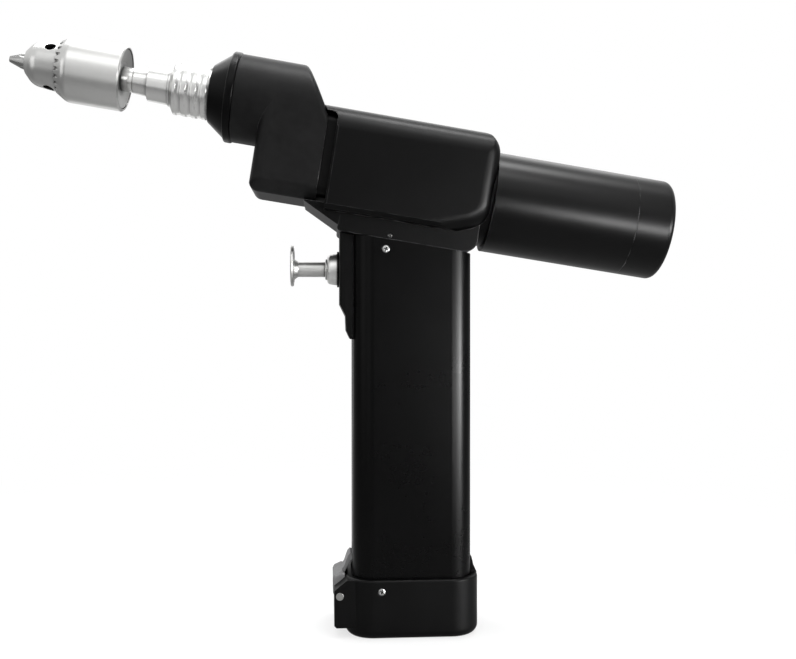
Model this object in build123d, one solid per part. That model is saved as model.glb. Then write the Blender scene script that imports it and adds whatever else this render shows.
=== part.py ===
from build123d import *
import math
import os

# A cordless surgical bone drill. Sizes are in millimetres and degrees.
# The grip stands on the origin along Z. The barrel has its own frame: s runs from
# nose to tail, y across and v up, with v = 0 on the spindle axis.

# Shared clearances
SEAT = 0.05          # pieces of one body that slide together
RUN = 0.04           # a shaft in its bearing, a rod in its bush
SLIDE = 0.3          # pieces that pass each other without guiding

# Barrel
TILT = 9.0           # the nose points up by this angle
JOINT_X = -33.0      # where the spindle axis meets the head and body joint

# Gears
PRESSURE_ANGLE = 20.0
BACKLASH = 0.12      # taken off each tooth at its pitch circle
FLANK_STEPS = 3
DRIVE_MODULE = 1.25
SPINDLE_TEETH = 24
PINION_TEETH = 18
DRIVE_ADDENDUM = 1.0
DRIVE_DEDENDUM = 1.3
DRIVE_FACE = 8.0
PLANET_MODULE = 0.8
SUN_TEETH = 12
PLANET_TEETH = 12
PLANET_COUNT = 3
PLANET_ADDENDUM = 0.64
PLANET_DEDENDUM = 0.8
RING_ADDENDUM = 0.45
PLANET_FACE = 12.0
MOTOR_DROP = DRIVE_MODULE * (SPINDLE_TEETH + PINION_TEETH) / 2
MOTOR_V = -MOTOR_DROP
RING_TEETH = SUN_TEETH + 2 * PLANET_TEETH
PLANET_ORBIT = PLANET_MODULE * (SUN_TEETH + PLANET_TEETH) / 2

# Head, flange and nose
FLANGE_T = 4.2
FLANGE_INSET = 0.7
FLANGE_CORNER = 4.0
FLANGE_RISE = 1.8    # above the head's underside
HEAD_LENGTH = 40.6
HEAD_WALL = 2.0      # round the spindle gear's bore
HEAD_BLOCK_LENGTH = 28.8
HEAD_FLOOR = 1.2     # under the pinion's bore
HEAD_FOLD = 5.0      # height of the edge that turns in under the block
HEAD_FOLD_IN = 5.0
HEAD_CORNER = 4.0
HEAD_EDGE = 6.0      # upright front edges of the block
SLANT_TOP = 12.7     # how far ahead of the rear face the slanted top starts
SLANT_ROUND = 2.5
SLANT_FOOT = 3.8     # v where the slant meets the rear face, below the axis
GEAR_ROOM = 1.0
PINION_ROOM = 0.5
PINION_LEAD = 1.2    # how far the pinion's cavity runs ahead of the gears
BOSS_LAG = 3.5       # from the gears back to the pinion bearing's boss
NOSE_LENGTH = 11.2
NOSE_BAND = 3.6
NOSE_BAND_OUT = 0.5  # beyond the head
NOSE_BAND_ROUND = 0.9
NOSE_CONE_IN = 0.7   # within the head
NOSE_LIP = 1.0       # round the collar's recess, its play counted in
NOSE_RECESS = 6.0
NOSE_WALL = 1.2
SPIGOT_R = 15.5
SEAL_WIDTH = 3.0
SEAL_RIM = 2.6       # from the spindle out to the carrier

# Spindle bearings, outside radius, bore radius and width
FRONT_BEARING = (14.0, 6.0, 8.0)
REAR_BEARING = (9.5, 4.0, 6.0)
PINION_BEARING = (9.5, 4.0, 6.0)
PINION_BUSH = (5.0, 3.0, 2.6)
BEARING_LIP = 2.0
RACE_GROOVE = 0.6

# Quick coupling
COLLAR_WALL = 3.5
COLLAR_LENGTH = 17.9
COLLAR_OVERLAP = 1.0
COLLAR_BEVEL = 1.6
COLLAR_TRAVEL = 4.4
COLLAR_LIP = 1.2
RIB_GROOVES = 4
RIB_PITCH = 4.3
RIB_GROOVE_R = 3.2
RIB_DEPTH = 0.3
SPINDLE_NOSE = 10.0
SPINDLE_R = 8.0
SPINDLE_FLARE = 0.35
SOCKET_R = 5.0
SOCKET_DEPTH = 22.5
LOCK_BALLS = 3
BALL_REACH = 1.0     # how far a ball stands in the arbor's groove
COUPLING_RING_T = 1.0
COUPLING_RIM = 1.6
COUPLING_RING_SEAT = 0.5
COIL_WIRE = 1.2
COIL_TURNS = 4

# Chuck
ARBOR_NECK = 10.3
ARBOR_SHOULDER = 6.7
ARBOR_SHOULDER_R = 5.9
ARBOR_WAIST_R = 5.2
ARBOR_TAIL_R = 4.0
ARBOR_TAIL = 13.0
SLEEVE_R = 14.0
SLEEVE_WALL = 3.0
SLEEVE_LENGTH = 23.3
CROWN_LENGTH = 4.4
CROWN_TEETH = 24
CROWN_NOTCH_R = 0.85
CROWN_SLOPE = 50.0   # of the round notches
CROWN_SHOULDER = 5.0
CHUCK_R = 10.5
CHUCK_BEVEL_R = 9.3
CHUCK_FACE_R = 5.3
CHUCK_NOSE = 14.2
CHUCK_BEVEL = 3.7
CHUCK_ROUND = 7.0
CHUCK_FLANGE_R = 12.5
CHUCK_FLANGE_T = 2.4
CHUCK_DISH = 1.0
KEY_HOLE_R = 2.3
KEY_HOLE_DEPTH = 5.2
KEY_HOLE_BACK = 3.4
KEY_HOLE_TURN = 140.0
GRIP_R = 0.75        # wire radius that the jaws stand at
JAW_COUNT = 3
JAW_R = 2.4
JAW_ANGLE = 12.0
JAW_LENGTH = 28.2
JAW_REACH = 7.4
JAW_TIP_R = 1.3
JAW_GAP = 0.12
JAW_ROOM = 0.12
BIT_R = 3.2
JAW_TRAVEL = 10.8
NUT_WIDTH = 5.0
NUT_BACK = 2.3       # behind the front of the crown teeth
NUT_SPLIT = 0.2

# Body, motor tube and motor
BODY_LENGTH = 70.5
BODY_SIDE = 0.5      # beyond the tube
BODY_RISE = 27.35    # above the motor's axis
BODY_DROP = 17.05    # below it
BODY_TOP_CORNER = 11.0
BODY_EDGE = 2.0      # along the underside
BODY_FRONT_EDGE = 0.8
BODY_REAR_CORNER = 10.0
BODY_FOOT_CORNER = 13.0
BODY_FOOT_SLOPE = 18.0   # the lower rear rounding runs out along the underside
BODY_REAR_EDGE = 6.5
BROW_T = 3.5         # top of the body that reaches over the flange to the head
BROW_CORNER = 3.0
BULKHEAD = 5.0
SADDLE_STEP = 0.5    # within the grip's side
SADDLE_DROP = 25.05  # below the motor's axis
SADDLE_RISE = 16.3   # from the trigger's axis up to the saddle, measured under the joint
SADDLE_FRONT = 6.6   # behind the body's front face
SADDLE_REAR = 4.1    # ahead of the body's rear face
SADDLE_LAP = 5.2     # how far the saddle runs up into the body
SADDLE_CORNER = 5.0
SADDLE_EDGE = 1.6
CHIN_STEP = 0.5      # within the saddle's side
CHIN_REACH = 4.9     # how far the chin runs under the head
CHIN_RISE = 2.0      # from the saddle's underside to the chin's rear end
CHIN_TIP = 0.5
TUBE_R = 22.0
TUBE_WALL = 2.0
TUBE_LENGTH = 62.05
SPIGOT_WALL = 2.3
TUBE_SPIGOT = 10.0
TAIL_LENGTH = 16.8
TAIL_WALL = 3.0
TAIL_EDGE = 3.0
TAIL_SPIGOT = 8.0
SCREW_ROOM = 4.0     # between the bulkhead and the ring gear
RING_LENGTH = 24.0
CARRIER_R = 12.4
CARRIER_T = 4.0
CARRIER_GAP = 1.0
PLANET_PIN_R = 1.5
OUTPUT_SHAFT_R = 4.0
MOTOR_LENGTH = 76.0
MOTOR_WALL = 1.5
MOTOR_SHAFT_R = 2.0
CORE_R = 13.0
CORE_LENGTH = 40.0
CORE_SLOTS = 7
CORE_SLOT_DEPTH = 4.0
CORE_SLOT_WIDTH = 2.4
COMMUTATOR_R = 6.0
COMMUTATOR_LENGTH = 7.0
MOTOR_BEARING = (5.0, 2.0, 4.0)
END_BELL_T = 6.0
END_BELL_PLUG = 4.0
CUSHION_WIDTH = 6.0
CUSHION_BACK = 12.0

# Screws: head radius, head height, shank radius
HEAD_SCREW = (1.9, 2.0, 1.0)
HEAD_SCREW_OUT = 1.55  # from the pinion's bore to the screw circle
HEAD_SCREW_REACH = 7.0
BLOCK_SCREW = (2.25, 2.5, 1.25)
BLOCK_SCREW_REACH = 7.0
SIDE_SCREW = (1.7, 1.2, 1.1)
CAP_SCREW = (1.65, 1.2, 1.1)
FRONT_SCREW = (1.9, 1.4, 1.0)
SET_SCREW_R = 0.9

# Grip
GRIP_DEPTH = 51.0
GRIP_WIDTH = 36.0
GRIP_CORNER = 9.0
GRIP_WALL = 2.5
GRIP_FOOT = 23.8
BLOCK_T = 9.2
TONGUE_HALF = 8.0
TONGUE_HEIGHT = 5.0
TONGUE_INSET = 3.0   # from the grip's inner front and rear
SIDE_SCREW_X = -11.6
SIDE_SCREW_DROP = 4.5
SET_SCREW_RISE = 1.4
SET_SCREW_X = -10.0
BLOCK_SCREW_Y = 12.0
BLOCK_SCREW_INSET = 5.4

# Trigger
TRIGGER_RISE = 7.9   # from the board up to the trigger's axis
TRIGGER_DISC_R = 9.0
TRIGGER_DISC_RISE = 1.5  # its centre, above the rod's axis
TRIGGER_DISC_T = 1.2
TRIGGER_NECK = 2.0
TRIGGER_FRONT = 21.1  # from the housing's front face to the disc's front
TRIGGER_ROD_R = 3.3
TRIGGER_TRAVEL = 7.0
TRIGGER_STOP_R = 4.9
TRIGGER_STOP_T = 1.2
TRIGGER_COIL_WIRE = 0.7
TRIGGER_COIL_TURNS = 4
BUSH_FRONT_R = 4.6
BUSH_LIP = 0.9
BUSH_DOME_R = 6.3
BUSH_DOME_ROUND = 1.6
BUSH_FLANGE_R = 6.95
BUSH_NOSE = 5.25
BUSH_SHANK_R = 4.8
HOUSING_THICK = 5.6
HOUSING_HALF = 12.0
HOUSING_EDGE = 2.5
HOUSING_STEP = 15.2  # this and the next three are below the trigger's axis
HOUSING_TAIL = 20.4
HOUSING_NECK = 26.8
HOUSING_END = 30.4
HOUSING_TAIL_THICK = 3.0
HOUSING_END_THICK = 1.0
BOSS_R = 7.8
BOSS_T = 0.95
FRONT_SCREW_HIGH = 11.6  # above the trigger axis
FRONT_SCREW_LOW = 11.1   # below it

# Inside the grip
SWITCH_BACK = 12.5   # behind the grip's front
SWITCH_LENGTH = 17.0
SWITCH_HALF = 9.0
SWITCH_TOP = 4.4     # above the trigger axis
SWITCH_BORE_DEPTH = 11.0
BOARD_T = 1.6
BOARD_FRONT_GAP = 3.0
BOARD_REAR_GAP = 2.0
BOARD_HALF = 13.5
BLOCK_GAP = 2.0      # between the battery's top and the contact block
CONTACT_BLOCK_T = 7.5
CLIP_X = 10.0
CLIP_LEAF = 0.5
BLADE_T = 0.8
BLADE_WIDTH = 6.0
BLADE_HEIGHT = 6.0

# Battery and cap
CELL_R = 9.2
CELL_LENGTH = 65.0
CELL_GAP = 0.2
CASE_ROOM = 1.0      # all round in the grip
CASE_CORNER = 6.0
CASE_WALL = 1.5
CAP_OVERHANG = 3.0
CAP_HEIGHT = 25.0
CAP_FLOOR = 4.0
CAP_RECESS = 1.5
CAP_BOTTOM_EDGE = 3.5
CAP_TOP_EDGE = 1.0
CAP_SCREW_X = -13.5
CAP_SCREW_Z = 20.15
TAIL_TONGUE_HALF = 8.0
TAIL_TONGUE_RISE = 6.5
LUG_REACH = 4.9
LUG_FOOT = 4.5
LUG_TOP = 20.2
LATCH_PIN_R = 1.6
LATCH_PIN_Z = 17.9
LATCH_PIN_OUT = 2.55  # ahead of the cap's front face
LEVER_HALF = 9.0
LEVER_EYE_R = 2.9
LEVER_PAD_OUT = 5.5  # ahead of the cap's front face
LEVER_PAD_RISE = 1.3  # above the cap
LEVER_PAD_DROP = 2.9  # from the pad's rear edge to its front edge
LEVER_FINGER_HALF = 5.5
LEVER_FINGER_T = 2.2
LEVER_FINGER_RISE = 8.2
LEVER_NOSE_DEPTH = 0.5
LEVER_NOSE_HEIGHT = 2.4
LATCH_GROOVE_DEPTH = 0.9
LATCH_GROOVE_TOP = 36.0
LATCH_COIL_HALF = 2.2
LATCH_COIL_WIRE = 0.6
LATCH_COIL_TURNS = 3

# Stations along the barrel
LOCK_BALL_R = (SPINDLE_R - SOCKET_R + BALL_REACH) / 2
HEAD_REAR = -FLANGE_T / 2
HEAD_FRONT = HEAD_REAR - HEAD_LENGTH
NOSE_FRONT = HEAD_FRONT - NOSE_LENGTH
COLLAR_REAR = NOSE_FRONT + COLLAR_OVERLAP
COLLAR_FRONT = COLLAR_REAR - COLLAR_LENGTH
SPINDLE_FRONT = COLLAR_FRONT - SPINDLE_NOSE
CHUCK_REAR = SPINDLE_FRONT - ARBOR_NECK
CROWN_REAR = CHUCK_REAR - SLEEVE_LENGTH
CROWN_FRONT = CROWN_REAR - CROWN_LENGTH
CHUCK_FRONT = CROWN_FRONT - CHUCK_NOSE
JAW_TIP = CHUCK_FRONT - JAW_REACH
SPIGOT_LENGTH = NOSE_LENGTH - NOSE_RECESS - NOSE_WALL
FRONT_BEARING_REAR = HEAD_FRONT + FRONT_BEARING[2] + 2.2
CARRIER_REAR = FRONT_BEARING_REAR + BEARING_LIP
GEAR_FRONT = CARRIER_REAR + 4.5
GEAR_REAR = GEAR_FRONT + DRIVE_FACE
CAVITY_FRONT = GEAR_FRONT - PINION_LEAD
REAR_BEARING_FRONT = GEAR_REAR + 0.6
REAR_BEARING_REAR = REAR_BEARING_FRONT + REAR_BEARING[2]
BODY_FRONT = FLANGE_T / 2
BODY_REAR = BODY_FRONT + BODY_LENGTH
TUBE_REAR = BODY_REAR + TUBE_LENGTH
TAIL_END = TUBE_REAR + TAIL_LENGTH
BULKHEAD_REAR = BODY_FRONT + BULKHEAD
RING_FRONT = BULKHEAD_REAR + SCREW_ROOM
MOTOR_FRONT = RING_FRONT + RING_LENGTH
MOTOR_REAR = MOTOR_FRONT + MOTOR_LENGTH
PLATE_FRONT = RING_FRONT + CARRIER_GAP
PLANET_FRONT = PLATE_FRONT + CARRIER_T + CARRIER_GAP

# Radii and widths that several pieces share
SPINDLE_GEAR_TIP = DRIVE_MODULE * SPINDLE_TEETH / 2 + DRIVE_ADDENDUM
PINION_TIP = DRIVE_MODULE * PINION_TEETH / 2 + DRIVE_ADDENDUM
GEAR_BORE_R = SPINDLE_GEAR_TIP + GEAR_ROOM
PINION_BORE_R = PINION_TIP + PINION_ROOM
HEAD_R = GEAR_BORE_R + HEAD_WALL
HEAD_DROP = MOTOR_DROP + PINION_BORE_R + HEAD_FLOOR
HEAD_SCREW_CIRCLE = PINION_BORE_R + HEAD_SCREW_OUT
COLLAR_R = SPINDLE_R + COLLAR_WALL
COUPLING_RING_R = SPINDLE_R + COUPLING_RIM
SEAL_R = SPINDLE_R + SEAL_RIM
NOSE_FRONT_R = COLLAR_R + NOSE_LIP
NOSE_BAND_R = HEAD_R + NOSE_BAND_OUT
NOSE_CONE_R = HEAD_R - NOSE_CONE_IN
BODY_HALF = TUBE_R + BODY_SIDE
BODY_TOP = BODY_RISE - MOTOR_DROP
BODY_BOTTOM = MOTOR_DROP + BODY_DROP
BROW_V = BODY_TOP - BROW_T
SADDLE_BOTTOM = MOTOR_DROP + SADDLE_DROP
SADDLE_HALF = GRIP_WIDTH / 2 - SADDLE_STEP
CHIN_HALF = SADDLE_HALF - CHIN_STEP
LUG_HALF = GRIP_WIDTH / 2
TUBE_INNER_R = TUBE_R - TUBE_WALL
TUBE_SPIGOT_R = TUBE_INNER_R - SEAT
MOTOR_BORE_R = TUBE_SPIGOT_R - SPIGOT_WALL
MOTOR_R = MOTOR_BORE_R - SEAT
SLEEVE_BORE_R = SLEEVE_R - SLEEVE_WALL
FLANGE_HALF = HEAD_R - FLANGE_INSET

# Levels and places in the grip
CASE_DEPTH = GRIP_DEPTH - 2 * (GRIP_WALL + CASE_ROOM)
CASE_WIDTH = GRIP_WIDTH - 2 * (GRIP_WALL + CASE_ROOM)
BATTERY_TOP = CAP_FLOOR + 2 * CASE_WALL + 2 * CELL_LENGTH + 3 * CELL_GAP
CONTACT_Z = BATTERY_TOP + BLOCK_GAP
BOARD_Z = CONTACT_Z + CONTACT_BLOCK_T
SWITCH_Z = BOARD_Z + BOARD_T
TRIGGER_Z = SWITCH_Z + TRIGGER_RISE
JOINT_Z = TRIGGER_Z + SADDLE_RISE + SADDLE_BOTTOM
GRIP_FRONT = -GRIP_DEPTH / 2
INNER_FRONT = GRIP_FRONT + GRIP_WALL
INNER_REAR = -INNER_FRONT
SWITCH_FRONT = GRIP_FRONT + SWITCH_BACK
SWITCH_REAR = SWITCH_FRONT + SWITCH_LENGTH
BOARD_FRONT = INNER_FRONT + BOARD_FRONT_GAP
BOARD_REAR = INNER_REAR - BOARD_REAR_GAP
HOUSING_FRONT = GRIP_FRONT - HOUSING_THICK
CAP_FRONT = GRIP_FRONT - CAP_OVERHANG
LATCH_PIN_X = CAP_FRONT - LATCH_PIN_OUT

BARREL = Location((JOINT_X, 0, JOINT_Z), (0, TILT, 0))


def lathe(corners, axis_v=0.0):
    """Turned solid about the line v = axis_v, from (s, radius) corners."""
    face = make_face(Polyline(*corners, close=True))
    return Pos(0, 0, axis_v) * revolve(Plane.XZ * face, Axis.X)


def ring(front, rear, inner, outer, axis_v=0.0):
    """Plain turned ring, or a rod when its inner radius is 0."""
    corners = [(front, inner), (rear, inner), (rear, outer), (front, outer)]
    return lathe(corners, axis_v)


def block(low, high):
    """Box between two opposite corners."""
    size = [b - a for a, b in zip(low, high)]
    middle = [(a + b) / 2 for a, b in zip(low, high)]
    return Pos(*middle) * Box(*size)


def column(depth, width, corner, low, high):
    """Upright prism of rounded rectangular section on the grip's axis."""
    return extrude(Pos(0, 0, low) * RectangleRounded(depth, width, corner), high - low)


def side_profile(corners, half):
    """Prism of a side-view outline, spread by half to each side."""
    face = make_face(Polyline(*corners, close=True))
    return extrude(Plane.XZ * face, half, both=True)


def cross_rod(x, z, y_from, y_to, radius):
    """Rod along y at a place of the side view."""
    length = y_to - y_from
    return Pos(x, (y_from + y_to) / 2, z) * Rot(90, 0, 0) * Cylinder(radius, length)


def lengthwise_rod(x_from, x_to, z, radius, y=0.0):
    """Rod along x."""
    return Pos((x_from + x_to) / 2, y, z) * Rot(0, 90, 0) * Cylinder(radius, x_to - x_from)


def polar(count, start, shape):
    """Copies of a shape turned evenly about the spindle axis."""
    return [Rot(start + i * 360 / count, 0, 0) * shape for i in range(count)]


def in_barrel(x, z):
    """The s and v of a point given in the grip's x and z."""
    turn = math.radians(TILT)
    dx, dz = x - JOINT_X, z - JOINT_Z
    return (dx * math.cos(turn) - dz * math.sin(turn), dx * math.sin(turn) + dz * math.cos(turn))


def saddle_z(x):
    """Height of the saddle's underside above a place on the x axis."""
    turn = math.radians(TILT)
    s = (x - JOINT_X + SADDLE_BOTTOM * math.sin(turn)) / math.cos(turn)
    return JOINT_Z - s * math.sin(turn) - SADDLE_BOTTOM * math.cos(turn)


def saddle_station(x):
    """The s of the place on the saddle's underside that lies above x."""
    return in_barrel(x, saddle_z(x))[0]


def above_saddle(lift=0.0):
    """The space above the saddle's underside, as a cutter."""
    reach = 4 * GRIP_DEPTH
    return BARREL * block((-reach, -reach, lift - SADDLE_BOTTOM), (2 * reach, reach, reach))


def involute(radius, base):
    """Involute angle at a radius, and 0 within the base circle."""
    roll = math.sqrt(max((radius / base) ** 2 - 1, 0))
    return roll - math.atan(roll)


def gear_face(teeth, module, tip, root, thinning, turn):
    """Gear outline whose first tooth points at an angle from +y towards +v."""
    pitch = module * teeth / 2
    base = pitch * math.cos(math.radians(PRESSURE_ANGLE))
    half = math.pi / (2 * teeth) - thinning / (2 * pitch)
    start = max(base, root)
    radii = [root] + [start + (tip - start) * i / FLANK_STEPS for i in range(FLANK_STEPS + 1)]
    if root >= base:
        radii = radii[1:]
    flank = [(r, half + involute(pitch, base) - involute(r, base)) for r in radii]
    points = []
    for tooth in range(teeth):
        middle = math.radians(turn) + 2 * math.pi * tooth / teeth
        points += [(r * math.cos(middle - a), r * math.sin(middle - a)) for r, a in flank]
        points += [(r * math.cos(middle + a), r * math.sin(middle + a)) for r, a in reversed(flank)]
    return make_face(Polyline(*points, close=True))


def gear(front, width, face, bore):
    """Straight-toothed wheel from its outline, with a round bore."""
    wheel = extrude(Plane.YZ.offset(front) * face, width)
    return wheel - ring(front - 1, front + width + 1, 0, bore)


def coil(radius, wire, length, turns):
    """Open spring along +x from 0, swept through quarter turns that meet tangent."""
    path = []
    steps = 4 * turns
    run = length - wire

    def place(step):
        angle = step * math.pi / 2
        return Vector(wire / 2 + run * step / steps, radius * math.cos(angle), radius * math.sin(angle))

    heading = Vector(run / steps * 2 / math.pi, 0, radius).normalized()
    first = heading
    for step in range(steps):
        arc = TangentArc(place(step), place(step + 1), tangent=heading)
        heading = arc % 1
        path.append(arc)
    section = Plane(place(0), x_dir=(0, 1, 0), z_dir=first) * Circle(wire / 2)
    print("coil: least gap to itself", round(self_gap(path, wire), 2))
    return sweep(section, Wire(path))


def self_gap(arcs, wire):
    """Least gap between stretches of a coil that lie half a turn or more apart."""
    per_arc = 6
    points = [arc @ (i / per_arc) for arc in arcs for i in range(per_arc)]
    half_turn = 2 * per_arc
    pairs = ((a, b) for i, a in enumerate(points) for b in points[i + half_turn:])
    return min((a - b).length for a, b in pairs) - wire


def bearing(front, size, axis_v=0.0):
    """Ball bearing as one ring, with a shallow groove round each side face."""
    outer, bore, width = size
    middle = (outer + bore) / 2
    band = (outer - bore) / 5
    body = ring(front, front + width, bore + RUN, outer, axis_v)
    for face in (front, front + width - RACE_GROOVE):
        body -= ring(face, face + RACE_GROOVE, middle - band, middle + band, axis_v)
    return body


def jaw_frame(turn):
    """Frame of a jaw: its x axis runs back and outwards from the jaw tip."""
    return Rot(turn, 0, 0) * Pos(JAW_TIP, 0, 0) * Rot(0, -JAW_ANGLE, 0)


def jaw_turns():
    """Angles of the jaws about the spindle, halfway between the key holes."""
    start = KEY_HOLE_TURN - 90 - 180 / JAW_COUNT
    return [start + i * 360 / JAW_COUNT for i in range(JAW_COUNT)]


def jaw_back(s):
    """Radius of a jaw's outer flank at a station on the spindle axis."""
    slope = math.radians(JAW_ANGLE)
    return (s - JAW_TIP) * math.tan(slope) + JAW_R / math.cos(slope)


def chuck_jaw(turn):
    """Slanted round jaw with a third of a cone for its tip and a grooved gripping face."""
    bar = Rot(0, 90, 0) * Pos(0, 0, JAW_LENGTH / 2) * Cylinder(JAW_R, JAW_LENGTH + 2 * JAW_R)
    shank = jaw_frame(turn) * bar
    far = JAW_TIP + JAW_LENGTH
    root = jaw_back(CHUCK_FRONT)
    cone = lathe([
        (JAW_TIP, 0),
        (JAW_TIP, JAW_TIP_R),
        (CHUCK_FRONT, root),
        (CHUCK_FRONT, SLEEVE_R),
        (far, SLEEVE_R),
        (far, 0),
    ])
    half = math.pi / JAW_COUNT
    side_y = 2 * SLEEVE_R * math.sin(half)
    side_v = 2 * SLEEVE_R * math.cos(half) + 2 * JAW_GAP
    wedge = make_face(Polyline(
        (0, JAW_GAP / math.sin(half)),
        (side_y, side_v),
        (0, 3 * SLEEVE_R),
        (-side_y, side_v),
        close=True,
    ))
    third = Rot(turn, 0, 0) * extrude(Plane.YZ.offset(JAW_TIP - 1) * wedge, JAW_LENGTH + 2)
    return (shank & cone & third) - ring(JAW_TIP - 1, far + 1, 0, GRIP_R)


def chuck_nut_blank(room=0.0):
    """Cone-bored ring in the chuck body's groove, larger all round by room."""
    front = CROWN_FRONT + NUT_BACK
    rear = front + NUT_WIDTH
    return lathe([
        (front - room, jaw_back(front) + JAW_ROOM - room),
        (rear + room, jaw_back(rear) + JAW_ROOM - room),
        (rear + room, SLEEVE_BORE_R + room),
        (front - room, SLEEVE_BORE_R + room),
    ])


def chuck_nut():
    """Split nut: two half rings that are closed into the groove."""
    slit = block((JAW_TIP, -SLEEVE_R, -NUT_SPLIT / 2), (CHUCK_REAR, SLEEVE_R, NUT_SPLIT / 2))
    return chuck_nut_blank() - slit


def rim_at(shape, station, radius):
    """Round edge of a turned piece at a station on the spindle axis."""
    rims = shape.edges().filter_by(GeomType.CIRCLE)
    return rims.filter_by(lambda edge: abs(edge.radius - radius) + abs(edge.center().X - station) < 0.01)


def chuck_body():
    """Turned body with slanted jaw holes, key pilot holes, nut groove and arbor socket."""
    flange_front = CHUCK_REAR - CHUCK_FLANGE_T
    body = lathe([
        (CHUCK_FRONT, 0),
        (CHUCK_FRONT, CHUCK_FACE_R),
        (CHUCK_FRONT + CHUCK_BEVEL, CHUCK_BEVEL_R),
        (CROWN_FRONT, CHUCK_R),
        (flange_front, CHUCK_R),
        (flange_front, CHUCK_FLANGE_R),
        (CHUCK_REAR - SLIDE, CHUCK_FLANGE_R),
        (CHUCK_REAR - SLIDE - CHUCK_DISH, ARBOR_WAIST_R + 2),
        (CHUCK_REAR - SLIDE - CHUCK_DISH, 0),
    ])
    body = fillet(rim_at(body, CHUCK_FRONT + CHUCK_BEVEL, CHUCK_BEVEL_R), CHUCK_ROUND)
    reach = JAW_LENGTH + JAW_TRAVEL + 2
    for turn in jaw_turns():
        hole = Rot(0, 90, 0) * Pos(0, 0, reach / 2) * Cylinder(JAW_R + JAW_ROOM, reach)
        body -= jaw_frame(turn) * hole
    body -= ring(CHUCK_FRONT - 1, CROWN_REAR, 0, BIT_R)
    body -= ring(CHUCK_REAR - ARBOR_TAIL - SLIDE, CHUCK_REAR, 0, ARBOR_TAIL_R + SEAT)
    body -= chuck_nut_blank(RUN + SEAT)
    drill = Pos(CROWN_FRONT - KEY_HOLE_BACK, 0, CHUCK_R) * Cylinder(KEY_HOLE_R, 2 * KEY_HOLE_DEPTH)
    for hole in polar(JAW_COUNT, KEY_HOLE_TURN - 90, drill):
        body -= hole
    return body


def chuck_sleeve():
    """Outer sleeve with crown teeth cut round its front bevel."""
    counterbore = CHUCK_REAR - CHUCK_FLANGE_T - SLIDE
    sleeve = lathe([
        (CROWN_FRONT, SLEEVE_BORE_R),
        (CROWN_FRONT, SLEEVE_BORE_R + 0.2),
        (CROWN_REAR, SLEEVE_R),
        (CHUCK_REAR - 0.6, SLEEVE_R),
        (CHUCK_REAR, SLEEVE_R - 0.6),
        (CHUCK_REAR, CHUCK_FLANGE_R + SLIDE),
        (counterbore, CHUCK_FLANGE_R + SLIDE),
        (counterbore, SLEEVE_BORE_R),
    ])
    sleeve = fillet(rim_at(sleeve, CROWN_REAR, SLEEVE_R), CROWN_SHOULDER)
    cutter = Rot(0, 90 - CROWN_SLOPE, 0) * Cylinder(CROWN_NOTCH_R, 4 * CROWN_LENGTH)
    cutter = Pos(CROWN_FRONT, 0, SLEEVE_BORE_R + 0.1) * cutter
    for tooth in polar(CROWN_TEETH, 0, cutter):
        sleeve -= tooth
    return sleeve


def chuck_arbor():
    """Arbor: tail in the chuck, flared shoulder, and a shank with a ball groove."""
    shoulder = SPINDLE_FRONT - ARBOR_SHOULDER
    shank_end = SPINDLE_FRONT + SOCKET_DEPTH - SLIDE
    body = lathe([
        (CHUCK_REAR - ARBOR_TAIL, 0),
        (CHUCK_REAR - ARBOR_TAIL, ARBOR_TAIL_R),
        (CHUCK_REAR - CHUCK_DISH - SLIDE, ARBOR_TAIL_R),
        (CHUCK_REAR - CHUCK_DISH - SLIDE, ARBOR_WAIST_R),
        (shoulder, ARBOR_WAIST_R),
        (shoulder + 0.4, ARBOR_WAIST_R + 0.3),
        (SPINDLE_FRONT, ARBOR_SHOULDER_R),
        (SPINDLE_FRONT, SOCKET_R - SEAT),
        (shank_end - 1, SOCKET_R - SEAT),
        (shank_end, SOCKET_R - 1),
        (shank_end, 0),
    ])
    groove = Pos(ball_station(), 0, ball_orbit()) * Rot(90, 0, 0) * Circle(LOCK_BALL_R + SEAT)
    return body - revolve(groove, Axis.X)


def ball_station():
    """Place of the lock balls, under the collar's locking land."""
    return COLLAR_FRONT + COLLAR_LIP + COLLAR_TRAVEL + LOCK_BALL_R + SEAT


def ball_orbit():
    """Radius of the lock balls' centres when they stand in the groove."""
    return SOCKET_R - BALL_REACH + LOCK_BALL_R


def lock_balls():
    """Balls that hold the arbor in the spindle."""
    ball = Pos(ball_station(), 0, ball_orbit()) * Sphere(LOCK_BALL_R)
    return sum_of(polar(LOCK_BALLS, 0, ball))


def sum_of(shapes):
    """One compound of several separate solids."""
    return Compound([solid for shape in shapes for solid in shape.solids()])


def coupling_seat():
    """Station of the ring that the coupling spring stands on."""
    return NOSE_FRONT + NOSE_RECESS - COUPLING_RING_T - 2 * SLIDE


def spindle():
    """Hollow-nosed spindle with a flared end, ball holes and stepped journals."""
    bearing_r = FRONT_BEARING[1]
    journal = REAR_BEARING[1]
    shaft = lathe([
        (SPINDLE_FRONT, 0),
        (SPINDLE_FRONT, SPINDLE_R - SPINDLE_FLARE),
        (COLLAR_FRONT, SPINDLE_R),
        (FRONT_BEARING_REAR - FRONT_BEARING[2], SPINDLE_R),
        (FRONT_BEARING_REAR - FRONT_BEARING[2], bearing_r),
        (GEAR_REAR, bearing_r),
        (GEAR_REAR, journal),
        (REAR_BEARING_REAR, journal),
        (REAR_BEARING_REAR, 0),
    ])
    shaft -= ring(SPINDLE_FRONT - 1, SPINDLE_FRONT + SOCKET_DEPTH, 0, SOCKET_R)
    hole = Pos(ball_station(), 0, ball_orbit()) * Cylinder(LOCK_BALL_R + SEAT, 2 * LOCK_BALL_R)
    for drilled in polar(LOCK_BALLS, 0, hole):
        shaft -= drilled
    for front in coupling_ring_fronts():
        shaft -= ring(front, front + COUPLING_RING_T, SPINDLE_R - COUPLING_RING_SEAT, SPINDLE_R + 1)
    return shaft


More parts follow.
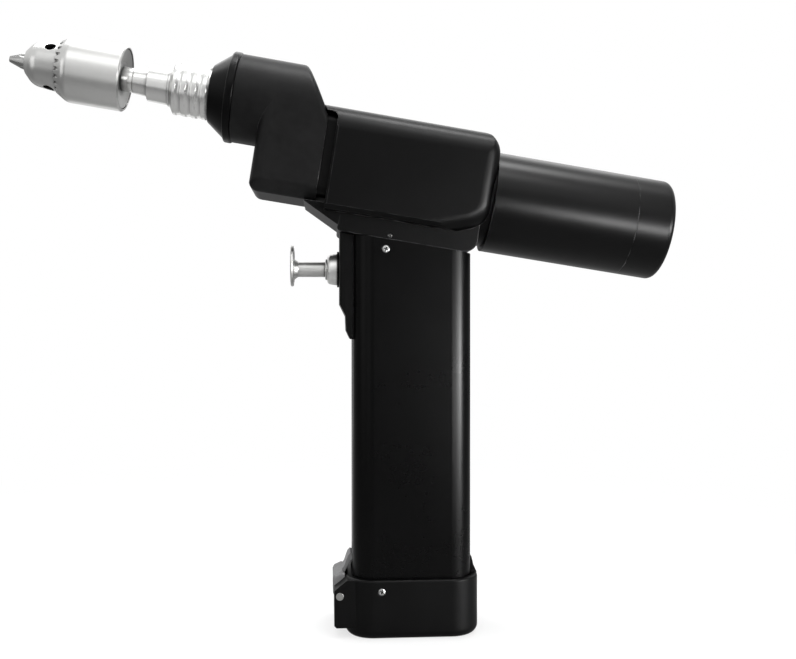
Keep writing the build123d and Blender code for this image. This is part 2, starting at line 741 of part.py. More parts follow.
def coupling_ring_fronts():
    """Stations of the collar's front stop ring and the spring's rear ring."""
    return (COLLAR_FRONT - COUPLING_RING_T - SEAT, coupling_seat())


def coupling_rings():
    """Front stop ring and rear spring ring, each in a groove of the spindle."""
    stop, seat = coupling_ring_fronts()
    slack = SEAT / 2
    inner = SPINDLE_R - COUPLING_RING_SEAT + slack
    rings = []
    for front, outer in ((stop, SPINDLE_R + COUPLING_RING_SEAT), (seat, COUPLING_RING_R)):
        rings.append(ring(front + slack, front + COUPLING_RING_T - slack, inner, outer))
    return sum_of(rings)


def release_collar():
    """Ribbed sleeve: front lip, ball release groove, locking land and spring pocket."""
    groove_rear = COLLAR_FRONT + COLLAR_LIP + COLLAR_TRAVEL
    land_rear = groove_rear + 2 * (LOCK_BALL_R + SEAT)
    bore = SPINDLE_R + RUN
    collar = lathe([
        (COLLAR_FRONT, bore),
        (COLLAR_FRONT, SPINDLE_R + 0.9),
        (COLLAR_FRONT + COLLAR_BEVEL, COLLAR_R),
        (COLLAR_REAR, COLLAR_R),
        (COLLAR_REAR, COUPLING_RING_R + 0.6),
        (land_rear, COUPLING_RING_R + 0.6),
        (land_rear, bore),
        (groove_rear, bore),
        (groove_rear, bore + BALL_REACH),
        (COLLAR_FRONT + COLLAR_LIP, bore + BALL_REACH),
        (COLLAR_FRONT + COLLAR_LIP, bore),
    ])
    first = COLLAR_FRONT + COLLAR_BEVEL + RIB_PITCH / 2 + 0.3
    for i in range(RIB_GROOVES):
        middle = first + i * RIB_PITCH
        hollow = Pos(middle, 0, COLLAR_R + RIB_GROOVE_R - RIB_DEPTH) * Rot(90, 0, 0) * Circle(RIB_GROOVE_R)
        collar -= revolve(hollow, Axis.X)
    return collar


def collar_spring():
    """Coupling spring between the collar's land and its ring on the spindle."""
    front = COLLAR_FRONT + COLLAR_LIP + COLLAR_TRAVEL + 2 * (LOCK_BALL_R + SEAT) + SEAT
    radius = (SPINDLE_R + COUPLING_RING_R + 0.6) / 2
    return Pos(front, 0, 0) * coil(radius, COIL_WIRE, coupling_seat() - SEAT - front, COIL_TURNS)


def spindle_gear():
    """Spindle wheel with a hub that reaches the front bearing."""
    bore = FRONT_BEARING[1] + SEAT / 2
    tip = SPINDLE_GEAR_TIP
    root = DRIVE_MODULE * SPINDLE_TEETH / 2 - DRIVE_DEDENDUM
    face = gear_face(SPINDLE_TEETH, DRIVE_MODULE, tip, root, BACKLASH, -90 + 180 / SPINDLE_TEETH)
    hub = ring(FRONT_BEARING_REAR + SEAT, GEAR_FRONT + 1, bore, bore + 2.6)
    return gear(GEAR_FRONT, DRIVE_FACE, face, bore) + hub


def nose_cone():
    """Nose cone: collar recess in front, thin wall, and a socket over the carrier's spigot."""
    recess = NOSE_FRONT + NOSE_RECESS
    band = HEAD_FRONT - NOSE_BAND
    socket = HEAD_FRONT - SPIGOT_LENGTH
    cone = lathe([
        (NOSE_FRONT, COLLAR_R + SLIDE),
        (NOSE_FRONT, NOSE_FRONT_R),
        (band, NOSE_CONE_R),
        (band, NOSE_BAND_R),
        (HEAD_FRONT, NOSE_BAND_R),
        (HEAD_FRONT, SPIGOT_R + SEAT),
        (socket, SPIGOT_R + SEAT),
        (socket, SPINDLE_R + SLIDE),
        (recess, SPINDLE_R + SLIDE),
        (recess, COLLAR_R + SLIDE),
    ])
    rims = rim_at(cone, band, NOSE_BAND_R) + rim_at(cone, HEAD_FRONT, NOSE_BAND_R)
    return fillet(rims, NOSE_BAND_ROUND)


def spindle_seal():
    """Lip seal round the spindle behind the collar."""
    front = HEAD_FRONT - SPIGOT_LENGTH + SEAT
    rear = front + SEAL_WIDTH
    lip = SPINDLE_R + RUN
    return lathe([
        (front, lip + 1.2),
        (front + 0.8, lip),
        (front + 1.6, lip),
        (front + 2.0, lip + 0.8),
        (rear, lip + 0.8),
        (rear, SEAL_R),
        (front, SEAL_R),
    ])


def bearing_carrier():
    """Front plug of the head: seat of the front bearing and spigot of the nose cone."""
    seat = FRONT_BEARING[0] + SEAT
    return lathe([
        (HEAD_FRONT - SPIGOT_LENGTH + SEAT, SEAL_R + SEAT),
        (HEAD_FRONT - SPIGOT_LENGTH + SEAT, SPIGOT_R),
        (HEAD_FRONT, SPIGOT_R),
        (HEAD_FRONT, GEAR_BORE_R - SEAT),
        (CARRIER_REAR, GEAR_BORE_R - SEAT),
        (CARRIER_REAR, seat - BEARING_LIP),
        (FRONT_BEARING_REAR + SEAT, seat - BEARING_LIP),
        (FRONT_BEARING_REAR + SEAT, seat),
        (FRONT_BEARING_REAR - FRONT_BEARING[2] - SEAT, seat),
        (FRONT_BEARING_REAR - FRONT_BEARING[2] - SEAT, SEAL_R + SEAT),
    ])


def head_screw_places():
    """Offsets of the head screws from the motor axis."""
    reach = HEAD_SCREW_CIRCLE / math.sqrt(2)
    return [(y * reach, MOTOR_V + v * reach) for y in (-1, 1) for v in (-1, 1)]


def head_screws():
    """Cap screws that pull the head and flange onto the body's bulkhead."""
    head_r, head_h, shank_r = HEAD_SCREW
    tip = HEAD_REAR - HEAD_SCREW_REACH
    screws = []
    for y, v in head_screw_places():
        screw = ring(BULKHEAD_REAR, BULKHEAD_REAR + head_h, 0, head_r)
        screw += ring(tip, BULKHEAD_REAR, 0, shank_r)
        screws.append(Pos(0, y, v) * screw)
    return sum_of(screws)


def head_screw_holes(front, rear):
    """Clearance holes for the head screws between two stations."""
    hole = ring(front, rear, 0, HEAD_SCREW[2] + SEAT)
    return [Pos(0, y, v) * hole for y, v in head_screw_places()]


def head_housing():
    """Gear head: round barrel over a flat-sided block, hollow for both gears."""
    block_front = HEAD_REAR - HEAD_BLOCK_LENGTH
    barrel = ring(HEAD_FRONT, HEAD_REAR, 0, HEAD_R)
    outline = make_face(Polyline(
        (-HEAD_R, 0),
        (-HEAD_R, HEAD_FOLD - HEAD_DROP),
        (HEAD_FOLD_IN - HEAD_R, -HEAD_DROP),
        (HEAD_R - HEAD_FOLD_IN, -HEAD_DROP),
        (HEAD_R, HEAD_FOLD - HEAD_DROP),
        (HEAD_R, 0),
        close=True,
    ))
    lower = extrude(Plane.YZ.offset(block_front) * outline, HEAD_BLOCK_LENGTH)
    front_edges = lower.edges().filter_by(Axis.Y).group_by(Axis.X)[0]
    lower = fillet(front_edges.group_by(Axis.Z)[0], HEAD_CORNER)
    plan = Rectangle(HEAD_BLOCK_LENGTH, 2 * HEAD_R)
    plan = fillet(plan.vertices().group_by(Axis.X)[0], HEAD_EDGE)
    lower &= extrude(Pos(block_front + HEAD_BLOCK_LENGTH / 2, 0, 0) * plan, -HEAD_DROP)
    head = barrel + lower
    top = HEAD_R + 1
    head -= side_profile([
        (HEAD_REAR - SLANT_TOP, HEAD_R),
        (HEAD_REAR - SLANT_TOP, top),
        (HEAD_REAR + 1, top),
        (HEAD_REAR + 1, -SLANT_FOOT),
        (HEAD_REAR, -SLANT_FOOT),
    ], top)
    head = fillet(head.edges().filter_by(GeomType.ELLIPSE), SLANT_ROUND)
    head -= ring(HEAD_FRONT, REAR_BEARING_FRONT - SEAT, 0, GEAR_BORE_R)
    head -= ring(GEAR_REAR, REAR_BEARING_REAR + SEAT, 0, REAR_BEARING[0] + SEAT)
    head -= ring(CAVITY_FRONT, HEAD_REAR, 0, PINION_BORE_R, MOTOR_V)
    bush_r, _, bush_w = PINION_BUSH
    head -= ring(CAVITY_FRONT - bush_w, CAVITY_FRONT, 0, bush_r + SEAT, MOTOR_V)
    for hole in head_screw_holes(HEAD_REAR - HEAD_SCREW_REACH - SLIDE, HEAD_REAR + 1):
        head -= hole
    return head


def pinion_bush():
    """Plain front bush of the output shaft in the head's front wall."""
    outer, bore, width = PINION_BUSH
    return ring(CAVITY_FRONT - width + SEAT, CAVITY_FRONT, bore + RUN, outer, MOTOR_V)


def flange_boss_front():
    """Front of the flange's bearing boss, clear of the pinion."""
    return GEAR_REAR + BOSS_LAG


def adapter_flange():
    """Joint plate between head and body with the pinion's rear bearing boss."""
    high = BROW_V - SEAT
    low = FLANGE_RISE - HEAD_DROP
    plate = Pos(0, (high + low) / 2) * RectangleRounded(2 * FLANGE_HALF, high - low, FLANGE_CORNER)
    flange = extrude(Plane.YZ.offset(HEAD_REAR) * plate, FLANGE_T)
    front = flange_boss_front()
    flange += ring(front, HEAD_REAR, 0, PINION_BORE_R - SEAT, MOTOR_V)
    seat = PINION_BEARING[0] + SEAT
    flange -= ring(front, front + PINION_BEARING[2] + SEAT, 0, seat, MOTOR_V)
    flange -= ring(front, BODY_FRONT, 0, seat - BEARING_LIP, MOTOR_V)
    for hole in head_screw_holes(HEAD_REAR - 1, BODY_FRONT + 1):
        flange -= hole
    return flange


def planet_carrier():
    """Carrier plate on the output shaft, with bores for the planet pins."""
    bush_front = CAVITY_FRONT - PINION_BUSH[2]
    plate_rear = PLATE_FRONT + CARRIER_T
    shaft = lathe([
        (bush_front + 2 * SEAT, 0),
        (bush_front + 2 * SEAT, PINION_BUSH[1]),
        (GEAR_FRONT - 0.6, PINION_BUSH[1]),
        (GEAR_FRONT - 0.6, OUTPUT_SHAFT_R),
        (PLATE_FRONT - 4, OUTPUT_SHAFT_R),
        (PLATE_FRONT, OUTPUT_SHAFT_R + 2),
        (PLATE_FRONT, CARRIER_R),
        (plate_rear, CARRIER_R),
        (plate_rear, 0),
    ], MOTOR_V)
    for y, v in planet_places():
        shaft -= Pos(0, y, v) * ring(PLATE_FRONT - 1, plate_rear + 1, 0, PLANET_PIN_R + SEAT / 2)
    return shaft


def output_pinion():
    """Pinion on the output shaft, in mesh with the spindle gear."""
    pitch = DRIVE_MODULE * PINION_TEETH / 2
    face = gear_face(PINION_TEETH, DRIVE_MODULE, PINION_TIP, pitch - DRIVE_DEDENDUM, BACKLASH, 90)
    wheel = gear(GEAR_FRONT - 0.4, DRIVE_FACE + 0.8, face, OUTPUT_SHAFT_R + SEAT / 2)
    hub = ring(GEAR_REAR, flange_boss_front() - SLIDE, OUTPUT_SHAFT_R + SEAT / 2, OUTPUT_SHAFT_R + 2)
    return Pos(0, 0, MOTOR_V) * (wheel + hub)


def planet_places():
    """Centres of the planets about the motor axis, the first straight up."""
    places = []
    for i in range(PLANET_COUNT):
        turn = math.radians(90 + i * 360 / PLANET_COUNT)
        places.append((PLANET_ORBIT * math.cos(turn), MOTOR_V + PLANET_ORBIT * math.sin(turn)))
    return places


def planet_pins():
    """Pins pressed in the carrier that the planets turn on."""
    pin = ring(PLATE_FRONT, PLANET_FRONT + PLANET_FACE, 0, PLANET_PIN_R)
    return sum_of([Pos(0, y, v) * pin for y, v in planet_places()])


def planet_gear(index):
    """One planet: a tooth space faces the sun and another faces the ring."""
    y, v = planet_places()[index]
    pitch = PLANET_MODULE * PLANET_TEETH / 2
    tip = pitch + PLANET_ADDENDUM
    root = pitch - PLANET_DEDENDUM
    turn = 90 + index * 360 / PLANET_COUNT + 180 / PLANET_TEETH
    face = gear_face(PLANET_TEETH, PLANET_MODULE, tip, root, BACKLASH, turn)
    return Pos(0, y, v) * gear(PLANET_FRONT, PLANET_FACE, face, PLANET_PIN_R + RUN)


def sun_pinion():
    """Sun on the motor shaft, a tooth towards each planet."""
    pitch = PLANET_MODULE * SUN_TEETH / 2
    tip = pitch + PLANET_ADDENDUM
    root = pitch - PLANET_DEDENDUM
    face = gear_face(SUN_TEETH, PLANET_MODULE, tip, root, BACKLASH, 90)
    return Pos(0, 0, MOTOR_V) * gear(PLANET_FRONT, PLANET_FACE + 1, face, MOTOR_SHAFT_R + SEAT / 2)


def ring_gear():
    """Fixed internal gear, a tooth towards each planet."""
    pitch = PLANET_MODULE * RING_TEETH / 2
    tip = pitch - RING_ADDENDUM
    root = pitch + PLANET_DEDENDUM
    turn = 90 + 180 / RING_TEETH
    space = gear_face(RING_TEETH, PLANET_MODULE, root, tip, -BACKLASH, turn)
    blank = ring(RING_FRONT, MOTOR_FRONT, 0, MOTOR_R)
    return Pos(0, 0, MOTOR_V) * (blank - extrude(Plane.YZ.offset(RING_FRONT - 1) * space, RING_LENGTH + 2))


def motor_can():
    """Motor can, open at the rear, with a bearing boss in its front wall."""
    outer, _, width = MOTOR_BEARING
    wall = MOTOR_FRONT + 2
    can = lathe([
        (MOTOR_FRONT, outer + SEAT),
        (MOTOR_FRONT, MOTOR_R),
        (MOTOR_REAR, MOTOR_R),
        (MOTOR_REAR, MOTOR_R - MOTOR_WALL),
        (wall, MOTOR_R - MOTOR_WALL),
        (wall, outer + 2),
        (MOTOR_FRONT + width, outer + 2),
        (MOTOR_FRONT + width, outer + SEAT),
    ], MOTOR_V)
    return can


def motor_end_bell():
    """Rear bell of the motor with its bearing pocket."""
    outer, bore, width = MOTOR_BEARING
    front = MOTOR_REAR - END_BELL_PLUG
    rear = MOTOR_REAR + END_BELL_T
    return lathe([
        (front, outer + SEAT),
        (front, MOTOR_R - MOTOR_WALL - SEAT),
        (MOTOR_REAR, MOTOR_R - MOTOR_WALL - SEAT),
        (MOTOR_REAR, MOTOR_R),
        (rear - 2, MOTOR_R),
        (rear, MOTOR_R - 2),
        (rear, bore + 1),
        (front + width, bore + 1),
        (front + width, outer + SEAT),
    ], MOTOR_V)


def motor_bearings():
    """Sleeve bearings of the armature in the can's front wall and in the end bell."""
    outer, bore, width = MOTOR_BEARING
    fronts = (MOTOR_FRONT, MOTOR_REAR - END_BELL_PLUG)
    return sum_of([ring(front, front + width, bore + RUN, outer, MOTOR_V) for front in fronts])


def armature():
    """Motor shaft with slotted core and commutator."""
    core_front = MOTOR_FRONT + MOTOR_BEARING[2] + 8
    core_rear = core_front + CORE_LENGTH
    core = ring(core_front, core_rear, 0, CORE_R)
    low = (core_front - 1, -CORE_SLOT_WIDTH / 2, CORE_R - CORE_SLOT_DEPTH)
    slot = block(low, (core_rear + 1, CORE_SLOT_WIDTH / 2, CORE_R + 1))
    for cut in polar(CORE_SLOTS, 0, slot):
        core -= cut
    shaft_rear = MOTOR_REAR - END_BELL_PLUG + MOTOR_BEARING[2]
    shaft = ring(PLANET_FRONT, shaft_rear, 0, MOTOR_SHAFT_R)
    commutator = ring(core_rear + 4, core_rear + 4 + COMMUTATOR_LENGTH, 0, COMMUTATOR_R)
    return Pos(0, 0, MOTOR_V) * (core + shaft + commutator)


def cushion_ring():
    """Rubber ring that holds the motor's rear in the tube."""
    front = MOTOR_REAR - CUSHION_BACK
    return ring(front, front + CUSHION_WIDTH, MOTOR_R + SEAT, TUBE_INNER_R - SEAT, MOTOR_V)


def motor_tube():
    """Plain tube over the body's spigot."""
    return ring(BODY_REAR, TUBE_REAR, TUBE_INNER_R, TUBE_R, MOTOR_V)


def tail_cap():
    """Cup that closes the tube, with a rounded rear edge and an inner spigot."""
    inner = TUBE_SPIGOT_R - TUBE_WALL
    cup = lathe([
        (TUBE_REAR - TAIL_SPIGOT, inner),
        (TUBE_REAR - TAIL_SPIGOT, TUBE_SPIGOT_R),
        (TUBE_REAR, TUBE_SPIGOT_R),
        (TUBE_REAR, TUBE_R),
        (TAIL_END, TUBE_R),
        (TAIL_END, 0),
        (TAIL_END - TAIL_WALL, 0),
        (TAIL_END - TAIL_WALL, inner),
    ], MOTOR_V)
    rim = cup.edges().filter_by(GeomType.CIRCLE).filter_by(lambda edge: abs(edge.radius - TUBE_R) < 0.01)
    return fillet(rim.group_by(Axis.X)[-1], TAIL_EDGE)


def body_pillow(front):
    """Body outline in side view, pulled out to its width and rounded along all its edges."""
    drop = math.tan(math.radians(BODY_FOOT_SLOPE))
    foot = BODY_FOOT_CORNER * drop - BODY_BOTTOM
    outline = make_face(Polyline(
        (front, BODY_TOP),
        (BODY_REAR, BODY_TOP),
        (BODY_REAR, foot),
        (front, foot - (BODY_REAR - front) * drop),
        close=True,
    ))
    rear = outline.vertices().group_by(Axis.X)[-1].sort_by(Axis.Y)
    outline = fillet(rear[0], BODY_FOOT_CORNER)
    outline = fillet(outline.vertices().sort_by(Axis.Y).sort_by(Axis.X)[-1], BODY_REAR_CORNER)
    pillow = extrude(Plane.XZ * outline, BODY_HALF, both=True)
    rims = pillow.edges().filter_by(lambda edge: edge.bounding_box().size.Y < 0.01)
    rims = rims.filter_by(lambda edge: edge.bounding_box().max.X > front + 1)
    return fillet(rims, BODY_REAR_EDGE)


def body_brow(front):
    """Side outline of the brow, with a rounded inner corner, pulled out past the body's width."""
    back = BODY_FRONT + BODY_FRONT_EDGE
    top = BODY_TOP + 1
    outline = make_face(Polyline(
        (front, BROW_V),
        (BODY_FRONT, BROW_V),
        (BODY_FRONT, BROW_V - 2 * BROW_CORNER),
        (back, BROW_V - 2 * BROW_CORNER),
        (back, top),
        (front, top),
        close=True,
    ))
    inner = outline.vertices().filter_by(lambda point: abs(point.X - BODY_FRONT) < 0.01)
    outline = fillet(inner.sort_by(Axis.Y)[-1], BROW_CORNER)
    return extrude(Plane.XZ * outline, BODY_HALF + 1, both=True)


def body_shell():
    """Outside of the body, with a brow that reaches over the flange to the head's slant."""
    front = HEAD_REAR - SLANT_TOP
    end = Rectangle(2 * BODY_HALF, BODY_TOP + BODY_BOTTOM)
    end = fillet(end.vertices().group_by(Axis.Y)[-1], BODY_TOP_CORNER)
    end = chamfer(end.vertices().group_by(Axis.Y)[0], BODY_EDGE)
    middle_v = (BODY_TOP - BODY_BOTTOM) / 2
    whole = extrude(Plane.YZ.offset(front) * Pos(0, middle_v) * end, BODY_REAR + 1 - front)
    whole &= body_pillow(front - 2 * BODY_REAR_EDGE)
    plan = Rectangle(BODY_LENGTH + 1, 2 * BODY_HALF)
    plan = chamfer(plan.vertices().group_by(Axis.X)[0], BODY_FRONT_EDGE)
    low = -BODY_BOTTOM - 1
    plan = Pos(BODY_FRONT + (BODY_LENGTH + 1) / 2, 0, low) * plan
    shell = whole & extrude(plan, BODY_TOP + 1 - low)
    shell += whole & body_brow(front)
    gap = 2 * SEAT
    shell -= side_profile([
        (front - 1, low),
        (HEAD_REAR + gap, low),
        (HEAD_REAR + gap, -SLANT_FOOT),
        (front + gap, HEAD_R),
        (front - 1, HEAD_R),
    ], BODY_HALF + 1)
    return shell - block((front - 1, -FLANGE_HALF - SEAT, low), (BODY_FRONT, FLANGE_HALF + SEAT, BROW_V))


def body_housing():
    """Body with its saddle and chin, bored for gears and motor, with a tube spigot."""
    body = body_shell()
    front = BODY_FRONT + SADDLE_FRONT
    rear = BODY_REAR - SADDLE_REAR
    join = SADDLE_LAP - BODY_BOTTOM
    saddle = block((front, -SADDLE_HALF, -SADDLE_BOTTOM), (rear, SADDLE_HALF, join))
    rear_edges = saddle.edges().filter_by(Axis.Y).group_by(Axis.X)[-1]
    saddle = fillet(rear_edges.group_by(Axis.Z)[0], SADDLE_CORNER)
    front_edges = saddle.edges().filter_by(Axis.Y).group_by(Axis.X)[0].group_by(Axis.Z)[0]
    saddle = fillet(front_edges + saddle.edges().filter_by(Axis.Z).group_by(Axis.X)[0], SADDLE_EDGE)
    chin_top = -HEAD_DROP - SLIDE
    chin = side_profile([
        (HEAD_REAR - CHIN_REACH, chin_top),
        (HEAD_REAR - CHIN_REACH, chin_top - CHIN_TIP),
        (front + 1, CHIN_RISE - SADDLE_BOTTOM),
        (front + 1, chin_top),
    ], CHIN_HALF)
    body += saddle + chin
    body += ring(BODY_REAR - BODY_FOOT_CORNER, BODY_REAR + TUBE_SPIGOT, 0, TUBE_SPIGOT_R, MOTOR_V)
    body -= ring(BULKHEAD_REAR, BODY_REAR + TUBE_SPIGOT + 1, 0, MOTOR_BORE_R, MOTOR_V)
    body -= ring(BODY_FRONT - 1, BULKHEAD_REAR + 1, 0, PINION_BEARING[0], MOTOR_V)
    for hole in head_screw_holes(BODY_FRONT - 1, BULKHEAD_REAR + 1):
        body -= hole
    head_r, head_h, _ = HEAD_SCREW
    spot_face = ring(BULKHEAD_REAR, BULKHEAD_REAR + head_h + SEAT, 0, head_r + SEAT)
    for y, v in head_screw_places():
        body -= Pos(0, y, v) * spot_face
    body -= tongue(SEAT)
    for s, y in block_screw_places():
        top = -SADDLE_BOTTOM + BLOCK_SCREW_REACH + SLIDE
        body -= Pos(s, y, (top - SADDLE_BOTTOM) / 2) * Cylinder(BLOCK_SCREW[2] + SEAT, top + SADDLE_BOTTOM)
    s = saddle_station(SET_SCREW_X)
    body -= cross_rod(s, SET_SCREW_RISE - SADDLE_BOTTOM, -BODY_HALF, BODY_HALF, SET_SCREW_R + SEAT)
    return body


def tongue(room=0.0):
    """Rail on the grip's top block that fits a slot in the saddle."""
    front = saddle_station(INNER_FRONT + TONGUE_INSET)
    rear = saddle_station(INNER_REAR - TONGUE_INSET)
    low = (front - room, -TONGUE_HALF - room, -SADDLE_BOTTOM)
    return block(low, (rear + room, TONGUE_HALF + room, TONGUE_HEIGHT + room - SADDLE_BOTTOM))


def block_screw_places():
    """Places of the screws between the grip's top block and the saddle."""
    front = saddle_station(INNER_FRONT + BLOCK_SCREW_INSET)
    rear = saddle_station(INNER_REAR - BLOCK_SCREW_INSET)
    return [(s, y * BLOCK_SCREW_Y) for s in (front, rear) for y in (-1, 1)]


def block_screws():
    """Screws driven up from the top block into the saddle."""
    head_r, head_h, shank_r = BLOCK_SCREW
    seat = -SADDLE_BOTTOM - BLOCK_T / 2
    tip = -SADDLE_BOTTOM + BLOCK_SCREW_REACH
    screws = []
    for s, y in block_screw_places():
        shank = Pos(s, y, (seat + tip) / 2) * Cylinder(shank_r, tip - seat)
        head = Pos(s, y, seat - head_h / 2) * Cylinder(head_r, head_h)
        screws.append(shank + head)
    return sum_of(screws)


def saddle_screw_z():
    """Height of the grip's side screws."""
    return saddle_z(SIDE_SCREW_X) - SIDE_SCREW_DROP


def side_screw_holes(room):
    """Countersinks and holes of the grip's side screws."""
    head_r, head_h, shank_r = SIDE_SCREW
    half = GRIP_WIDTH / 2
    z = saddle_screw_z()
    cut = cross_rod(SIDE_SCREW_X, z, -half, half, shank_r + room)
    cut += cross_rod(SIDE_SCREW_X, z, half - head_h, half + 1, head_r + room)
    return cut + cross_rod(SIDE_SCREW_X, z, -half - 1, head_h - half, head_r + room)


def grip_inner(room, low, high):
    """Prism of the grip tube's inside, smaller all round by room."""
    shrink = 2 * (GRIP_WALL + room)
    return column(GRIP_DEPTH - shrink, GRIP_WIDTH - shrink, GRIP_CORNER - GRIP_WALL - room, low, high)


def grip_top_block():
    """Block in the grip's top that joins it to the saddle, relieved over the switch."""
    high = JOINT_Z
    block_body = grip_inner(SEAT, TRIGGER_Z - 2 * BLOCK_T, high) - above_saddle()
    block_body &= above_saddle(-BLOCK_T)
    block_body += BARREL * tongue()
    head_r, head_h, shank_r = BLOCK_SCREW
    seat = -SADDLE_BOTTOM - BLOCK_T / 2
    for s, y in block_screw_places():
        block_body -= BARREL * (Pos(s, y, seat) * Cylinder(shank_r + SEAT, 2 * BLOCK_T))
        block_body -= BARREL * (Pos(s, y, seat - BLOCK_T / 2) * Cylinder(head_r + SEAT, BLOCK_T))
    room = SWITCH_HALF + SLIDE
    top = TRIGGER_Z + TRIGGER_STOP_R + 2 * SLIDE
    block_body -= block((GRIP_FRONT, -room, BOARD_Z), (SWITCH_REAR + SLIDE, room, top))
    return block_body - side_screw_holes(SEAT)


def grip_screws():
    """Side screws of the grip's top block and set screws of the saddle."""
    head_r, head_h, shank_r = SIDE_SCREW
    half = GRIP_WIDTH / 2
    z = saddle_screw_z()
    inner = SWITCH_HALF + 2
    screws = []
    for side in (-1, 1):
        reach = sorted((side * inner, side * half))
        head = sorted((side * (half - head_h), side * half))
        shank = cross_rod(SIDE_SCREW_X, z, *reach, shank_r)
        screws.append(shank + cross_rod(SIDE_SCREW_X, z, *head, head_r))
        s = saddle_station(SET_SCREW_X)
        reach = sorted((side * (TONGUE_HALF + 2 * SEAT), side * (SADDLE_HALF - SEAT)))
        screws.append(BARREL * cross_rod(s, SET_SCREW_RISE - SADDLE_BOTTOM, *reach, SET_SCREW_R))
    return sum_of(screws)


def grip_tube():
    """Grip tube of rounded rectangular section, cut to the saddle's slant."""
    tube = column(GRIP_DEPTH, GRIP_WIDTH, GRIP_CORNER, GRIP_FOOT, JOINT_Z)
    tube -= grip_inner(0, GRIP_FOOT - 1, JOINT_Z + 1)
    tube -= above_saddle()
    tube -= lengthwise_rod(GRIP_FRONT - 1, GRIP_FRONT + GRIP_WALL + 1, TRIGGER_Z, TRIGGER_STOP_R + SLIDE)
    for z in front_screw_levels():
        tube -= lengthwise_rod(GRIP_FRONT - 1, GRIP_FRONT + GRIP_WALL + 1, z, FRONT_SCREW[2] + SEAT)
    groove_half = LEVER_FINGER_HALF + 2 * SLIDE
    groove = block(
        (GRIP_FRONT - 1, -groove_half, GRIP_FOOT - 1),
        (GRIP_FRONT + LATCH_GROOVE_DEPTH, groove_half, LATCH_GROOVE_TOP),
    )
    return tube - side_screw_holes(SEAT) - groove


def front_screw_levels():
    """Heights of the trigger housing's screws above and below the trigger."""
    return (TRIGGER_Z + FRONT_SCREW_HIGH, TRIGGER_Z - FRONT_SCREW_LOW)


def housing_screws():
    """Screws that hold the trigger housing to the grip's front wall."""
    head_r, head_h, shank_r = FRONT_SCREW
    end = GRIP_FRONT + GRIP_WALL
    screws = []
    for z in front_screw_levels():
        shank = lengthwise_rod(HOUSING_FRONT, end, z, shank_r)
        screws.append(shank + lengthwise_rod(HOUSING_FRONT, HOUSING_FRONT + head_h, z, head_r))
    return sum_of(screws)


def trigger_housing():
    """Housing on the grip's front that thins in two steps towards its lower end."""
    inside = GRIP_FRONT + GRIP_CORNER
    end = TRIGGER_Z - HOUSING_END
    plan = Rectangle(inside - HOUSING_FRONT, 2 * HOUSING_HALF)
    plan = fillet(plan.vertices().group_by(Axis.X)[0], HOUSING_EDGE)
    middle = (HOUSING_FRONT + inside) / 2
    shape = extrude(Pos(middle, 0, end) * plan, JOINT_Z - end)
    shape &= side_profile([
        (inside, end),
        (GRIP_FRONT - HOUSING_END_THICK, end),
        (GRIP_FRONT - HOUSING_TAIL_THICK + 0.3, TRIGGER_Z - HOUSING_NECK),
        (GRIP_FRONT - HOUSING_TAIL_THICK, TRIGGER_Z - HOUSING_TAIL),
        (HOUSING_FRONT, TRIGGER_Z - HOUSING_STEP),
        (HOUSING_FRONT, JOINT_Z),
        (inside, JOINT_Z),
    ], HOUSING_HALF)
    shape += lengthwise_rod(HOUSING_FRONT - BOSS_T, GRIP_FRONT, TRIGGER_Z, BOSS_R)
    shape -= column(GRIP_DEPTH, GRIP_WIDTH, GRIP_CORNER, 0, JOINT_Z)
    shape -= above_saddle()
    shape -= lengthwise_rod(HOUSING_FRONT - 2, GRIP_FRONT + 1, TRIGGER_Z, BUSH_SHANK_R + SEAT)
    head_r, head_h, shank_r = FRONT_SCREW
    for z in front_screw_levels():
        shape -= lengthwise_rod(HOUSING_FRONT - 1, GRIP_FRONT + 1, z, shank_r + SEAT)
        shape -= lengthwise_rod(HOUSING_FRONT - 1, HOUSING_FRONT + head_h, z, head_r + SEAT)
    return shape


def bush_seat():
    """Front of the boss, where the bush's flange sits."""
    return HOUSING_FRONT - BOSS_T


def trigger_bush():
    """Steel bush of the trigger rod: lip, domed flange and shank."""
    seat = bush_seat()
    nose = seat - BUSH_NOSE
    bore = TRIGGER_ROD_R + RUN
    bush = lathe([
        (nose, bore),
        (nose, BUSH_FRONT_R - 0.4),
        (nose + 0.4, BUSH_FRONT_R),
        (nose + BUSH_LIP, BUSH_FRONT_R),
        (nose + BUSH_LIP + 0.3, BUSH_DOME_R),
        (seat, BUSH_FLANGE_R),
        (seat, BUSH_SHANK_R),
        (GRIP_FRONT - SEAT, BUSH_SHANK_R),
        (GRIP_FRONT - SEAT, bore),
    ], TRIGGER_Z)
    return fillet(rim_at(bush, nose + BUSH_LIP + 0.3, BUSH_DOME_R), BUSH_DOME_ROUND)


def trigger_stop():
    """Front of the stop collar on the trigger rod."""
    return GRIP_FRONT + SLIDE


